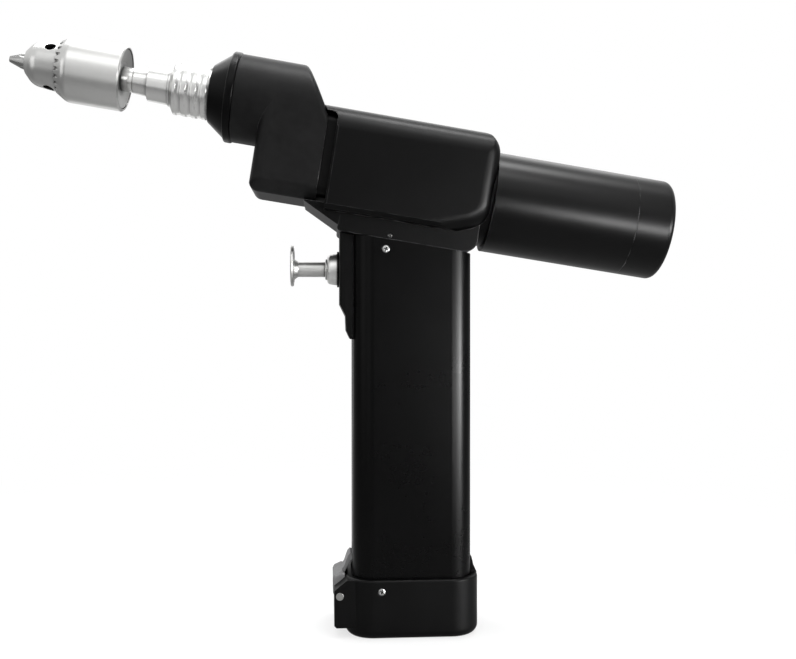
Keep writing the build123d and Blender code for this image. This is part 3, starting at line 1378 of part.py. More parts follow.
def trigger_button():
    """Mushroom trigger: thin disc set high on a coned neck, rod and stop collar."""
    disc = HOUSING_FRONT - TRIGGER_FRONT
    back = disc + TRIGGER_DISC_T
    stop = trigger_stop()
    end = SWITCH_FRONT + 1
    button = lathe([
        (back, 0),
        (back, TRIGGER_ROD_R + 1.5),
        (back + TRIGGER_NECK, TRIGGER_ROD_R),
        (stop, TRIGGER_ROD_R),
        (stop, TRIGGER_STOP_R),
        (stop + TRIGGER_STOP_T, TRIGGER_STOP_R),
        (stop + TRIGGER_STOP_T, TRIGGER_ROD_R),
        (end - 0.5, TRIGGER_ROD_R),
        (end, TRIGGER_ROD_R - 0.5),
        (end, 0),
    ], TRIGGER_Z)
    return button + lathe([
        (disc, 0),
        (disc, TRIGGER_DISC_R - 0.4),
        (disc + 0.4, TRIGGER_DISC_R),
        (back, TRIGGER_DISC_R - 0.2),
        (back + 0.3, TRIGGER_DISC_R - 2),
        (back + 0.3, 0),
    ], TRIGGER_Z + TRIGGER_DISC_RISE)


def trigger_spring():
    """Return spring between the rod's stop collar and the switch."""
    front = trigger_stop() + TRIGGER_STOP_T + SEAT
    radius = (TRIGGER_ROD_R + TRIGGER_STOP_R + SLIDE) / 2
    wound = coil(radius, TRIGGER_COIL_WIRE, SWITCH_FRONT - SEAT - front, TRIGGER_COIL_TURNS)
    return Pos(front, 0, TRIGGER_Z) * wound


def switch_module():
    """Switch block on the board, bored for the end of the trigger rod."""
    body = block((SWITCH_FRONT, -SWITCH_HALF, SWITCH_Z), (SWITCH_REAR, SWITCH_HALF, TRIGGER_Z + SWITCH_TOP))
    body = chamfer(body.edges().filter_by(Axis.X).group_by(Axis.Z)[-1], 1)
    bore_end = SWITCH_FRONT + SWITCH_BORE_DEPTH
    return body - lengthwise_rod(SWITCH_FRONT - 1, bore_end, TRIGGER_Z, TRIGGER_ROD_R + SLIDE)


def control_board():
    """Board on the contact block with two power transistors and a capacitor."""
    board = block((BOARD_FRONT, -BOARD_HALF, BOARD_Z), (BOARD_REAR, BOARD_HALF, SWITCH_Z))
    for y in (-8, 1):
        board += block((SWITCH_REAR + 5, y, BOARD_Z), (SWITCH_REAR + 13, y + 6, SWITCH_Z + 2))
    return board + Pos(BOARD_FRONT + 3, BOARD_HALF - 3.5, SWITCH_Z + 1.5) * Cylinder(2.2, 3)


def clip_slot(side, room):
    """Slot of one contact clip in the contact block."""
    half = BLADE_WIDTH / 2 + room
    wide = BLADE_T / 2 + SLIDE + CLIP_LEAF + room
    return block((side * CLIP_X - half, -wide, CONTACT_Z - 1), (side * CLIP_X + half, wide, BOARD_Z + 1))


def contact_block():
    """Insulating block across the grip with two slots for the contact clips."""
    body = grip_inner(SEAT * 2, CONTACT_Z, BOARD_Z)
    for side in (-1, 1):
        body -= clip_slot(side, SLIDE)
    return body


def contact_clips():
    """Forked clips under the board that take the battery's blades."""
    half = BLADE_WIDTH / 2
    gap = BLADE_T / 2 + SLIDE
    wide = gap + CLIP_LEAF
    clips = []
    for side in (-1, 1):
        x = side * CLIP_X
        clip = block((x - half, -wide, CONTACT_Z), (x + half, wide, BOARD_Z))
        clips.append(clip - block((x - half - 1, -gap, CONTACT_Z - 1), (x + half + 1, gap, BOARD_Z - 1)))
    return sum_of(clips)


def battery_case():
    """Battery pack case around its cells."""
    case = column(CASE_DEPTH, CASE_WIDTH, CASE_CORNER, CAP_FLOOR, BATTERY_TOP)
    case -= column(
        CASE_DEPTH - 2 * CASE_WALL,
        CASE_WIDTH - 2 * CASE_WALL,
        CASE_CORNER - CASE_WALL,
        CAP_FLOOR + CASE_WALL,
        BATTERY_TOP - CASE_WALL,
    )
    return case - cross_rod(CAP_SCREW_X, CAP_SCREW_Z, -CASE_WIDTH, CASE_WIDTH, CAP_SCREW[2] + SEAT)


def battery_cells():
    """Four round cells in two layers, each with its raised pole."""
    cells = []
    pole = 1.2
    for layer in range(2):
        low = CAP_FLOOR + CASE_WALL + CELL_GAP + layer * (CELL_LENGTH + CELL_GAP)
        for side in (-1, 1):
            x = side * (CELL_R + CELL_GAP)
            can = Pos(x, 0, low + (CELL_LENGTH - pole) / 2) * Cylinder(CELL_R, CELL_LENGTH - pole)
            cells.append(can + Pos(x, 0, low + CELL_LENGTH - pole / 2) * Cylinder(CELL_R / 3, pole))
    return sum_of(cells)


def battery_terminals():
    """Contact blades that stand on the battery case."""
    half = BLADE_WIDTH / 2 - SLIDE
    blades = []
    for side in (-1, 1):
        x = side * CLIP_X
        foot = block((x - half, -2.5, BATTERY_TOP), (x + half, 2.5, BATTERY_TOP + BLADE_T))
        top = BATTERY_TOP + BLADE_HEIGHT
        blades.append(foot + block((x - half, -BLADE_T / 2, BATTERY_TOP), (x + half, BLADE_T / 2, top)))
    return sum_of(blades)


def battery_cap():
    """Cap under the grip: rim, battery pocket, rear tongue and latch lug."""
    depth = GRIP_DEPTH + 2 * CAP_OVERHANG
    width = GRIP_WIDTH + 2 * CAP_OVERHANG
    cap = column(depth, width, GRIP_CORNER + CAP_OVERHANG, 0, CAP_HEIGHT)
    cap = fillet(cap.edges().group_by(Axis.Z)[0], CAP_BOTTOM_EDGE)
    cap = fillet(cap.edges().group_by(Axis.Z)[-1], CAP_TOP_EDGE)
    rear = GRIP_DEPTH / 2
    cap += side_profile([
        (rear, CAP_HEIGHT - 3),
        (rear + CAP_OVERHANG, CAP_HEIGHT - 3),
        (rear + CAP_OVERHANG, CAP_HEIGHT),
        (rear + CAP_OVERHANG * 0.55, CAP_HEIGHT + TAIL_TONGUE_RISE * 0.45),
        (rear + SLIDE + 0.5, CAP_HEIGHT + TAIL_TONGUE_RISE),
        (rear, CAP_HEIGHT + TAIL_TONGUE_RISE),
    ], TAIL_TONGUE_HALF)
    lug_front = CAP_FRONT - LUG_REACH
    cap += side_profile([
        (CAP_FRONT + GRIP_CORNER, LUG_FOOT),
        (lug_front + 1, LUG_FOOT),
        (lug_front, LUG_FOOT + 1),
        (lug_front, LUG_TOP),
        (CAP_FRONT + 0.5, CAP_HEIGHT - CAP_TOP_EDGE / 2),
        (CAP_FRONT + GRIP_CORNER, CAP_HEIGHT - CAP_TOP_EDGE / 2),
    ], LUG_HALF)
    room = LEVER_HALF + SLIDE
    cap -= block(
        (CAP_FRONT - LUG_REACH - 1, -room, LATCH_PIN_Z - LEVER_EYE_R - 1),
        (CAP_FRONT + 0.9, room, CAP_HEIGHT + 1),
    )
    cap -= cross_rod(LATCH_PIN_X, LATCH_PIN_Z, -LUG_HALF - 1, LUG_HALF + 1, LATCH_PIN_R)
    recess = CAP_HEIGHT - CAP_RECESS
    cap -= column(GRIP_DEPTH + 2 * SLIDE, GRIP_WIDTH + 2 * SLIDE, GRIP_CORNER + SLIDE, recess, JOINT_Z)
    cap -= column(CASE_DEPTH + 2 * SEAT, CASE_WIDTH + 2 * SEAT, CASE_CORNER + SEAT, CAP_FLOOR, CAP_HEIGHT)
    head_r, head_h, shank_r = CAP_SCREW
    cap -= cross_rod(CAP_SCREW_X, CAP_SCREW_Z, -width, width, shank_r + SEAT)
    for side in (-1, 1):
        reach = sorted((side * (width / 2 - head_h), side * width))
        cap -= cross_rod(CAP_SCREW_X, CAP_SCREW_Z, *reach, head_r + SEAT)
    return cap


def cap_screws():
    """Screws that hold the battery case in the cap."""
    head_r, head_h, shank_r = CAP_SCREW
    half = GRIP_WIDTH / 2 + CAP_OVERHANG
    inner = CASE_WIDTH / 2 - CASE_WALL
    screws = []
    for side in (-1, 1):
        reach = sorted((side * inner, side * half))
        head = sorted((side * (half - head_h), side * half))
        shank = cross_rod(CAP_SCREW_X, CAP_SCREW_Z, *reach, shank_r)
        screws.append(shank + cross_rod(CAP_SCREW_X, CAP_SCREW_Z, *head, head_r))
    return sum_of(screws)


def latch_pin():
    """Pin of the latch lever through both ears of the lug."""
    return cross_rod(LATCH_PIN_X, LATCH_PIN_Z, -LUG_HALF - SLIDE, LUG_HALF + SLIDE, LATCH_PIN_R)


def latch_lever():
    """Bent lever: eyes on the pin, thumb pad, and a finger whose nose bears in the grip's groove."""
    pad = CAP_FRONT - LEVER_PAD_OUT
    pad_top = CAP_HEIGHT + LEVER_PAD_RISE
    pad_front = pad_top - LEVER_PAD_DROP
    back = CAP_FRONT - SLIDE
    arm = side_profile([
        (LATCH_PIN_X - LEVER_EYE_R, LATCH_PIN_Z),
        (pad, pad_front),
        (pad + 0.7, pad_front + 1.5),
        (back - 1.3, pad_top),
        (back, pad_top - 1.3),
        (back, LATCH_PIN_Z),
    ], LEVER_HALF)
    tip = GRIP_FRONT + LEVER_NOSE_DEPTH
    top = CAP_HEIGHT + LEVER_FINGER_RISE
    lean = GRIP_FRONT - SLIDE - 0.6
    arm += side_profile([
        (back - 2, pad_front),
        (back - 1.3, pad_top),
        (back - 0.2, pad_top + 1.4),
        (lean - LEVER_FINGER_T / 2, top - 1.2),
        (lean, top),
        (tip, top - 0.6),
        (tip, top - LEVER_NOSE_HEIGHT),
        (lean, top - LEVER_NOSE_HEIGHT - 0.8),
        (back, pad_top - 1.3),
        (back, pad_front),
    ], LEVER_FINGER_HALF)
    lever = arm + cross_rod(LATCH_PIN_X, LATCH_PIN_Z, -LEVER_HALF, LEVER_HALF, LEVER_EYE_R)
    lever -= cross_rod(LATCH_PIN_X, LATCH_PIN_Z, -LUG_HALF, LUG_HALF, LATCH_PIN_R + RUN)
    room = LATCH_COIL_HALF + SLIDE
    pocket = cross_rod(LATCH_PIN_X, LATCH_PIN_Z, -room, room, LEVER_EYE_R + SLIDE)
    return lever - pocket


def latch_spring():
    """Torsion coil on the latch pin between the lever's two eyes."""
    radius = LATCH_PIN_R + LATCH_COIL_WIRE / 2 + SEAT * 2
    wound = coil(radius, LATCH_COIL_WIRE, 2 * LATCH_COIL_HALF, LATCH_COIL_TURNS)
    return Pos(LATCH_PIN_X, -LATCH_COIL_HALF, LATCH_PIN_Z) * Rot(0, 0, 90) * wound


def write(name, shape, place=None):
    """Write one piece, placed in the shared frame."""
    export_step(place * shape if place else shape, f"parts/{name}.step")


def write_barrel():
    """Pieces modelled in the barrel's frame."""
    pieces = {
        "chuck_body": chuck_body(),
        "chuck_sleeve": chuck_sleeve(),
        "chuck_nut": chuck_nut(),
        "chuck_arbor": chuck_arbor(),
        "lock_balls": lock_balls(),
        "spindle": spindle(),
        "coupling_rings": coupling_rings(),
        "release_collar": release_collar(),
        "collar_spring": collar_spring(),
        "spindle_gear": spindle_gear(),
        "spindle_front_bearing": bearing(FRONT_BEARING_REAR - FRONT_BEARING[2], FRONT_BEARING),
        "spindle_rear_bearing": bearing(REAR_BEARING_FRONT, REAR_BEARING),
        "nose_cone": nose_cone(),
        "spindle_seal": spindle_seal(),
        "bearing_carrier": bearing_carrier(),
        "head_screws": head_screws(),
        "head_housing": head_housing(),
        "pinion_bush": pinion_bush(),
        "pinion_bearing": bearing(flange_boss_front(), PINION_BEARING, MOTOR_V),
        "adapter_flange": adapter_flange(),
        "planet_carrier": planet_carrier(),
        "output_pinion": output_pinion(),
        "planet_pins": planet_pins(),
        "sun_pinion": sun_pinion(),
        "ring_gear": ring_gear(),
        "motor_can": motor_can(),
        "motor_end_bell": motor_end_bell(),
        "motor_bearings": motor_bearings(),
        "armature": armature(),
        "cushion_ring": cushion_ring(),
        "motor_tube": motor_tube(),
        "tail_cap": tail_cap(),
        "body_housing": body_housing(),
        "block_screws": block_screws(),
    }
    for index, turn in enumerate(jaw_turns()):
        pieces[f"chuck_jaw_{index + 1}"] = chuck_jaw(turn)
    for index in range(PLANET_COUNT):
        pieces[f"planet_gear_{index + 1}"] = planet_gear(index)
    for name, shape in pieces.items():
        write(name, shape, BARREL)


def write_grip():
    """Pieces modelled in the grip's frame."""
    pieces = {
        "grip_tube": grip_tube(),
        "grip_top_block": grip_top_block(),
        "grip_screws": grip_screws(),
        "trigger_housing": trigger_housing(),
        "housing_screws": housing_screws(),
        "trigger_bush": trigger_bush(),
        "trigger_button": trigger_button(),
        "trigger_spring": trigger_spring(),
        "switch_module": switch_module(),
        "control_board": control_board(),
        "contact_block": contact_block(),
        "contact_clips": contact_clips(),
        "battery_case": battery_case(),
        "battery_cells": battery_cells(),
        "battery_terminals": battery_terminals(),
        "battery_cap": battery_cap(),
        "cap_screws": cap_screws(),
        "latch_pin": latch_pin(),
        "latch_lever": latch_lever(),
        "latch_spring": latch_spring(),
    }
    for name, shape in pieces.items():
        write(name, shape)


os.makedirs("parts", exist_ok=True)
write_barrel()
write_grip()
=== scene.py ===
"""Looks of a pistol-grip bone drill: finishes, fasteners, springs, studio and camera."""
import math

import bpy
import numpy as np
from bpy.props import FloatProperty, FloatVectorProperty, IntProperty, PointerProperty
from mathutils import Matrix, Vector


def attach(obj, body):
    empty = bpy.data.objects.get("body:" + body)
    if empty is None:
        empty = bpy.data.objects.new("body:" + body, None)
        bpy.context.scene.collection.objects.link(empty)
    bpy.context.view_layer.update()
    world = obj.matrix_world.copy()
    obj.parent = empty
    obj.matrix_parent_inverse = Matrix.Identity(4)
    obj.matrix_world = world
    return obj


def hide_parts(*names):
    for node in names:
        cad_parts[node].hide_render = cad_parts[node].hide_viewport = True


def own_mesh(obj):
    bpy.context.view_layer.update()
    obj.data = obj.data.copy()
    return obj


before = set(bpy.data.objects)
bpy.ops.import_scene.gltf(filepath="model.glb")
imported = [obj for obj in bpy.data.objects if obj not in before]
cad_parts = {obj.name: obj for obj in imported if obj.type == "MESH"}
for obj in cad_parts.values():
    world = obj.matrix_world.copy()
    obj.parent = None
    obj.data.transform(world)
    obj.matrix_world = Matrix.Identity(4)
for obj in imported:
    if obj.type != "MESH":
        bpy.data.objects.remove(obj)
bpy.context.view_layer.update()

bl_info = {
    "name": "Bone drill",
    "version": (1, 0, 0),
    "blender": (4, 5, 0),
    "location": "View3D > Sidebar > Drill",
    "description": "Finishes and fine pieces of a pistol-grip bone drill",
    "category": "Object",
}

MM = 0.001
MICRON = 0.000001

# Directions and points of the drill's own lines
TILT = math.radians(9.0)
ALONG = np.array([math.cos(TILT), 0.0, -math.sin(TILT)])
ACROSS = np.array([0.0, 1.0, 0.0])
INWARD = np.array([1.0, 0.0, 0.0])
SPINDLE_POINT = np.array([-0.033, 0.0, 0.2242])
TRIGGER_POINT = np.array([0.0, 0.0, 0.1566])
LATCH_POINT = np.array([-0.03105, 0.0, 0.0179])

# Heights at which one CAD node changes its finish
CELL_FOOT = 5.7 * MM        # lower ends of the lowest cells
CELL_STEP = 65.2 * MM       # from one layer of cells to the next
CELL_GAP = 0.2 * MM         # between two layers
CELL_RIM = 1.1 * MM         # bare steel at a cell's end
BOARD_FACE = 148.72 * MM    # the board's upper face, under its components

# Depths of the finishes' relief
BLAST_DEPTH = 4.0 * MICRON
STREAK_DEPTH = 5.0 * MICRON
BLACK_LINE_DEPTH = 1.5 * MICRON
BRIGHT_LINE_DEPTH = 0.8 * MICRON
MOULD_DEPTH = 7.0 * MICRON
CUT_DEPTH = 8.0 * MICRON
PEBBLE_DEPTH = 10.0 * MICRON
RIPPLE_DEPTH = 20.0 * MICRON

# Colours that no property holds
# painted shade: the colour that recesses and gaps between parts darken to, with a little oily dirt
RECESS_SHADE = (0.03, 0.03, 0.03)
HANDLED_EDGE = (0.035, 0.035, 0.036)
RUBBED_PAINT = (0.20, 0.20, 0.20)
RUBBER_BLACK = (0.012, 0.012, 0.012)
RUBBER_BLOOM = (0.03, 0.03, 0.029)
CELL_STEEL = (0.55, 0.55, 0.54)
BOARD_TRACK = (0.03, 0.2, 0.08)
BOARD_CASE = (0.015, 0.015, 0.016)
BEARING_STEEL = (0.58, 0.58, 0.58)
BRONZE = (0.5, 0.31, 0.14)
PIN_STEEL = (0.36, 0.36, 0.35)
WHITE = (1.0, 1.0, 1.0)

# Cut metals: base colour, stain in clouds, roughness
CUT_METALS = {
    "hardened jaw steel": ((0.42, 0.42, 0.41), (0.30, 0.30, 0.30), 0.30),
    "oiled gear steel": ((0.42, 0.42, 0.42), (0.27, 0.24, 0.19), 0.32),
    "zinc plate": ((0.50, 0.50, 0.49), (0.44, 0.45, 0.40), 0.36),
    "contact brass": ((0.68, 0.50, 0.20), (0.50, 0.33, 0.13), 0.30),
    "bright screw steel": ((0.46, 0.46, 0.45), (0.36, 0.36, 0.36), 0.30),
    "drawn spring wire": ((0.50, 0.50, 0.50), (0.40, 0.37, 0.33), 0.25),
}


def colour(name, text, value):
    """Colour property with its words and default."""
    return FloatVectorProperty(
        name=name, description=text, subtype="COLOR", size=3, min=0, max=1, default=value)


def length(name, text, value):
    """Length property in metres."""
    return FloatProperty(
        name=name, description=text, unit="LENGTH", subtype="DISTANCE", min=0, precision=5, default=value)


def share(name, text, value):
    """Property between nought and one."""
    return FloatProperty(name=name, description=text, subtype="FACTOR", min=0, max=1, default=value)


class DrillFinish(bpy.types.PropertyGroup):
    """Colours, roughness and shine of the drill's surfaces."""
    black_metal: colour("Black metal", "Anodised body, tube and grip", (0.0007, 0.0007, 0.00075))
    head_black: colour("Head black", "Blasted gear head", (0.0050, 0.0050, 0.0051))
    black_moulding: colour("Black moulding", "Battery cap and trigger housing", (0.0008, 0.0008, 0.00085))
    rubbed_edge: colour("Rubbed edge", "Metal showing where an edge is rubbed", (0.11, 0.11, 0.112))
    chuck_metal: colour("Chuck metal", "Ground steel of the chuck", (0.60, 0.60, 0.59))
    bright_metal: colour("Bright metal", "Turned steel of spindle and collar", (0.68, 0.68, 0.67))
    trigger_metal: colour("Trigger metal", "Brushed steel of the trigger", (0.49, 0.49, 0.48))
    bush_metal: colour("Bush metal", "Turned steel of the trigger's bush", (0.68, 0.68, 0.67))
    lever_paint: colour("Lever paint", "Grey lever of the latch", (0.18, 0.18, 0.182))
    cell_sleeve: colour("Cell sleeve", "Shrink sleeve of the battery cells", (0.03, 0.10, 0.22))
    board_lacquer: colour("Board lacquer", "Lacquer of the control board", (0.015, 0.11, 0.045))
    body_gloss: share("Body roughness", "Roughness of the body's satin black", 0.36)
    head_gloss: share("Head roughness", "Roughness of the gear head's blasted black", 0.42)
    tube_gloss: share("Tube roughness", "Roughness of the turned tube and nose", 0.30)
    grip_gloss: share("Grip roughness", "Roughness of the drawn grip tube", 0.28)
    moulding_gloss: share("Moulding roughness", "Roughness of the black moulding", 0.38)
    body_shine: share("Body shine", "Specular level of the body", 0.11)
    head_shine: share("Head shine", "Specular level of the gear head", 0.10)
    tube_shine: share("Tube shine", "Specular level of the motor tube", 0.15)
    nose_shine: share("Nose shine", "Specular level of the nose cone", 0.09)
    grip_shine: share("Grip shine", "Specular level of the grip tube", 0.09)
    moulding_shine: share("Moulding shine", "Specular level of the black moulding", 0.10)
    lever_shine: share("Lever shine", "Specular level of the latch lever", 0.15)


class DrillFasteners(bpy.types.PropertyGroup):
    """Sizes of the screws' and springs' fine shape."""
    thread_pitch: length("Thread pitch", "Pitch of the small screws", 0.45 * MM)
    thread_depth: length("Thread depth", "Depth of the small screws' thread", 0.16 * MM)
    crown: length("Head crown", "How far a screw head's rim lies below its middle", 0.28 * MM)
    round_steps: IntProperty(name="Steps round", description="Points round a screw", min=24, default=48)
    collar_wire: length("Collar wire", "Wire of the coupling spring", 1.2 * MM)
    trigger_wire: length("Trigger wire", "Wire of the trigger's return spring", 0.7 * MM)
    latch_wire: length("Latch wire", "Wire of the latch's torsion spring", 0.6 * MM)


class DrillStage(bpy.types.PropertyGroup):
    """Camera, floor and lamps."""
    lens: FloatProperty(name="Lens", description="Focal length", unit="CAMERA", default=42.816)
    floor_half: length("Floor half", "Half of the floor's side", 4.0)
    shadow: share("Shadow", "How much of the floor's own shade is seen", 0.30)
    horizon: share("Horizon", "Level of the room that gloss reflects at eye height", 0.25)
    floor_gloss: share("Floor in gloss", "Level of the floor near the drill that gloss reflects", 0.20)
    back_floor: share("Back floor in gloss", "Level of the floor behind the drill that gloss reflects", 0.55)
    sky: share("Sky", "Level of the room above", 0.90)
    lamp_level: FloatProperty(name="Lamp level", description="Scales all the lamps", min=0, default=1.0)


def feed(tree, socket, value):
    """Set an input to a value, or join it to another node's output."""
    if isinstance(value, bpy.types.NodeSocket):
        tree.links.new(value, socket)
    else:
        socket.default_value = value


def add(tree, kind, inputs=None, **settings):
    """Node of a kind, with its settings, and its inputs set to values or joined to sockets."""
    made = tree.nodes.new(kind)
    for name, value in settings.items():
        setattr(made, name, value)
    for key, value in (inputs or {}).items():
        feed(tree, made.inputs[key], value)
    return made


def sums(tree, operation, first, second=0.0, third=0.0):
    """Result socket of one Math node."""
    return add(tree, "ShaderNodeMath", {0: first, 1: second, 2: third}, operation=operation).outputs[0]


def ramp(tree, value, low, high, start=0.0, end=1.0, smooth=False):
    """Value carried from low..high to start..end and held beyond them, straight or by a smooth step."""
    made = add(
        tree, "ShaderNodeMapRange",
        {"Value": value, "From Min": low, "From Max": high, "To Min": start, "To Max": end},
        interpolation_type="SMOOTHSTEP" if smooth else "LINEAR")
    return made.outputs[0]


def noise(tree, place, scale, detail, rough=0.5):
    """Result socket of noise over a place."""
    inputs = {"Vector": place, "Scale": scale, "Detail": detail, "Roughness": rough}
    return add(tree, "ShaderNodeTexNoise", inputs).outputs[0]


def object_place(tree):
    """Socket of the shaded point's place in the part's own frame."""
    return add(tree, "ShaderNodeTexCoord").outputs["Object"]


def dotted(tree, first, second):
    """Result socket of two vectors' dot product."""
    made = add(tree, "ShaderNodeVectorMath", {0: first, 1: second}, operation="DOT_PRODUCT")
    return made.outputs["Value"]


def height_of(tree, place):
    """Socket of a place's height."""
    return add(tree, "ShaderNodeSeparateXYZ", {0: place}).outputs["Z"]


def blend_colours(tree, factor, low, high):
    """Result socket of a colour mix from low to high."""
    made = tree.nodes.new("ShaderNodeMix")
    made.data_type = "RGBA"
    inputs = {socket.identifier: socket for socket in made.inputs}
    for name, value in (("Factor_Float", factor), ("A_Color", low), ("B_Color", high)):
        feed(tree, inputs[name], value)
    return next(socket for socket in made.outputs if socket.identifier == "Result_Color")


def group(name, takes, gives, build):
    """Node group made once: takes lists (name, kind, default), gives (name, kind), build joins them."""
    tree = bpy.data.node_groups.get(name)
    if tree:
        return tree
    tree = bpy.data.node_groups.new(name, "ShaderNodeTree")
    for label, kind, default in takes:
        socket = tree.interface.new_socket(label, in_out="INPUT", socket_type=kind)
        socket.default_value = default
    for label, kind in gives:
        tree.interface.new_socket(label, in_out="OUTPUT", socket_type=kind)
    source = tree.nodes.new("NodeGroupInput")
    drain = tree.nodes.new("NodeGroupOutput")
    for label, socket in build(tree, source.outputs).items():
        tree.links.new(socket, drain.inputs[label])
    return tree


def use(tree, grouped, **inputs):
    """Place a group in a material with its own values."""
    made = tree.nodes.new("ShaderNodeGroup")
    made.node_tree = grouped
    for label, value in inputs.items():
        feed(tree, made.inputs[label], value)
    return made.outputs


FLOAT = "NodeSocketFloat"
VECTOR = "NodeSocketVector"
CLOUD_LEVELS = (0.33, 0.67)     # noise that clouds run from and to
PATCH_LEVELS = (0.42, 0.66)     # noise between whole and rubbed patches
WORN_COSINES = (0.985, 0.86)    # between the flat and the softened normal: no wear, full wear
CLOSED_LEVELS = (0.90, 0.50)    # open sky that leaves a point unshaded, that fills it with painted shade
SCORE_LEVELS = (0.62, 0.80)     # noise of a tool line that shows, that shows fully


def mottle_group():
    """Slow cloudy change over a surface, from Low to High, out of two sizes of noise."""
    def build(tree, given):
        place = object_place(tree)
        broad = noise(tree, place, given["Scale"], 3.0, 0.55)
        small = noise(tree, place, sums(tree, "MULTIPLY", given["Scale"], 7.3), 2.0)
        both = sums(tree, "MULTIPLY_ADD", small, 0.35, sums(tree, "MULTIPLY", broad, 0.65))
        return {"Value": ramp(tree, both, *CLOUD_LEVELS, given["Low"], given["High"])}
    takes = (("Scale", FLOAT, 60.0), ("Low", FLOAT, 0.0), ("High", FLOAT, 1.0))
    return group("mottle", takes, (("Value", FLOAT),), build)


def grain_group():
    """Fine pebbled height, as bead blasting or spark-eroded moulds leave it."""
    def build(tree, given):
        place = object_place(tree)
        inputs = {"Vector": place, "Scale": given["Scale"]}
        cells = add(tree, "ShaderNodeTexVoronoi", inputs, feature="SMOOTH_F1")
        pits = noise(tree, place, sums(tree, "MULTIPLY", given["Scale"], 1.9), 1.0)
        return {"Height": sums(tree, "ADD", cells.outputs["Distance"], pits)}
    return group("grain", (("Scale", FLOAT, 2500.0),), (("Height", FLOAT),), build)


def lines_group():
    """Fine parallel tool lines: noise that changes only along one direction."""
    def build(tree, given):
        run = dotted(tree, object_place(tree), given["Direction"])
        inputs = {"W": run, "Scale": given["Scale"], "Detail": 4.0, "Roughness": 0.7}
        return {"Value": add(tree, "ShaderNodeTexNoise", inputs, noise_dimensions="1D").outputs[0]}
    takes = (("Direction", VECTOR, (1.0, 0.0, 0.0)), ("Scale", FLOAT, 3000.0))
    return group("tool lines", takes, (("Value", FLOAT),), build)


def drawn_group():
    """Long faint streaks along one axis, as drawing through a die leaves them: noise squeezed lengthwise."""
    def build(tree, given):
        inputs = {0: object_place(tree), 1: given["Squeeze"]}
        squeezed = add(tree, "ShaderNodeVectorMath", inputs, operation="MULTIPLY").outputs[0]
        return {"Value": noise(tree, squeezed, given["Scale"], 3.0, 0.6)}
    takes = (("Squeeze", VECTOR, (1.0, 1.0, 0.02)), ("Scale", FLOAT, 900.0))
    return group("drawn streaks", takes, (("Value", FLOAT),), build)


def edge_group():
    """Rounded edges: the softened normal, and a mask of where it leaves the flat one, broken by noise."""
    def build(tree, given):
        soft = add(tree, "ShaderNodeBevel", {"Radius": given["Radius"]}, samples=6).outputs[0]
        flat = add(tree, "ShaderNodeNewGeometry").outputs["Normal"]
        turned = ramp(tree, dotted(tree, soft, flat), *WORN_COSINES)
        patches = noise(tree, object_place(tree), given["Patches"], 4.0)
        broken = ramp(tree, patches, *PATCH_LEVELS)
        return {"Mask": sums(tree, "MULTIPLY", turned, broken), "Normal": soft}
    takes = (("Radius", FLOAT, 0.0004), ("Patches", FLOAT, 220.0))
    return group("rubbed edges", takes, (("Mask", FLOAT), ("Normal", VECTOR)), build)


def recess_shade_group():
    """Painted shade in recesses and gaps between parts, with a little oily dirt: a mask of where shapes close
    in around a point.
    """
    def build(tree, given):
        inputs = {"Distance": given["Reach"]}
        open_sky = add(tree, "ShaderNodeAmbientOcclusion", inputs, samples=8).outputs["AO"]
        closed = ramp(tree, open_sky, *CLOSED_LEVELS)
        patches = noise(tree, object_place(tree), 700.0, 2.0)
        return {"Mask": sums(tree, "MULTIPLY", closed, sums(tree, "MULTIPLY_ADD", patches, 0.2, 0.85))}
    return group("recess shade", (("Reach", FLOAT, 0.003),), (("Mask", FLOAT),), build)


def fresh(name):
    """New material with an empty tree, its shader and its output."""
    made = bpy.data.materials.new(name)
    made.use_nodes = True
    tree = made.node_tree
    tree.nodes.clear()
    shader = tree.nodes.new("ShaderNodeBsdfPrincipled")
    drain = tree.nodes.new("ShaderNodeOutputMaterial")
    tree.links.new(shader.outputs[0], drain.inputs["Surface"])
    return made, tree, shader


def coat(tree, shader, tone, gloss, normal):
    """Join a tone, a roughness and a normal to a material's shader."""
    for name, socket in (("Base Color", tone), ("Roughness", gloss), ("Normal", normal)):
        tree.links.new(socket, shader.inputs[name])


def opaque(value):
    """Three colour numbers as the four that a colour socket takes."""
    return (*value, 1.0)


def bumped(tree, height, normal, strength, depth):
    """Normal of a surface that carries a height, on top of another normal."""
    inputs = {"Strength": strength, "Distance": depth, "Height": height, "Normal": normal}
    return add(tree, "ShaderNodeBump", inputs).outputs[0]


def mottled(tree, scale, low=0.0, high=1.0):
    """Socket that drifts in clouds from low to high."""
    return use(tree, mottle_group(), Scale=scale, Low=low, High=high)["Value"]


def tinted(tree, base, scale, spread):
    """Base colour that drifts a little lighter and darker over the surface."""
    low = opaque([c * (1 - spread) for c in base])
    high = opaque([c * (1 + spread) for c in base])
    return blend_colours(tree, mottled(tree, scale), low, high)


def rubbed(tree, edge, amount, tone, paler):
    """Tone that turns paler where an edge is rubbed."""
    return blend_colours(tree, sums(tree, "MULTIPLY", edge["Mask"], amount), tone, opaque(paler))


def shaded_in_recesses(tree, tone, recess):
    """Tone that darkens where shapes close in within a distance: painted shade in recesses."""
    return blend_colours(tree, use(tree, recess_shade_group(), Reach=recess)["Mask"], tone, opaque(RECESS_SHADE))


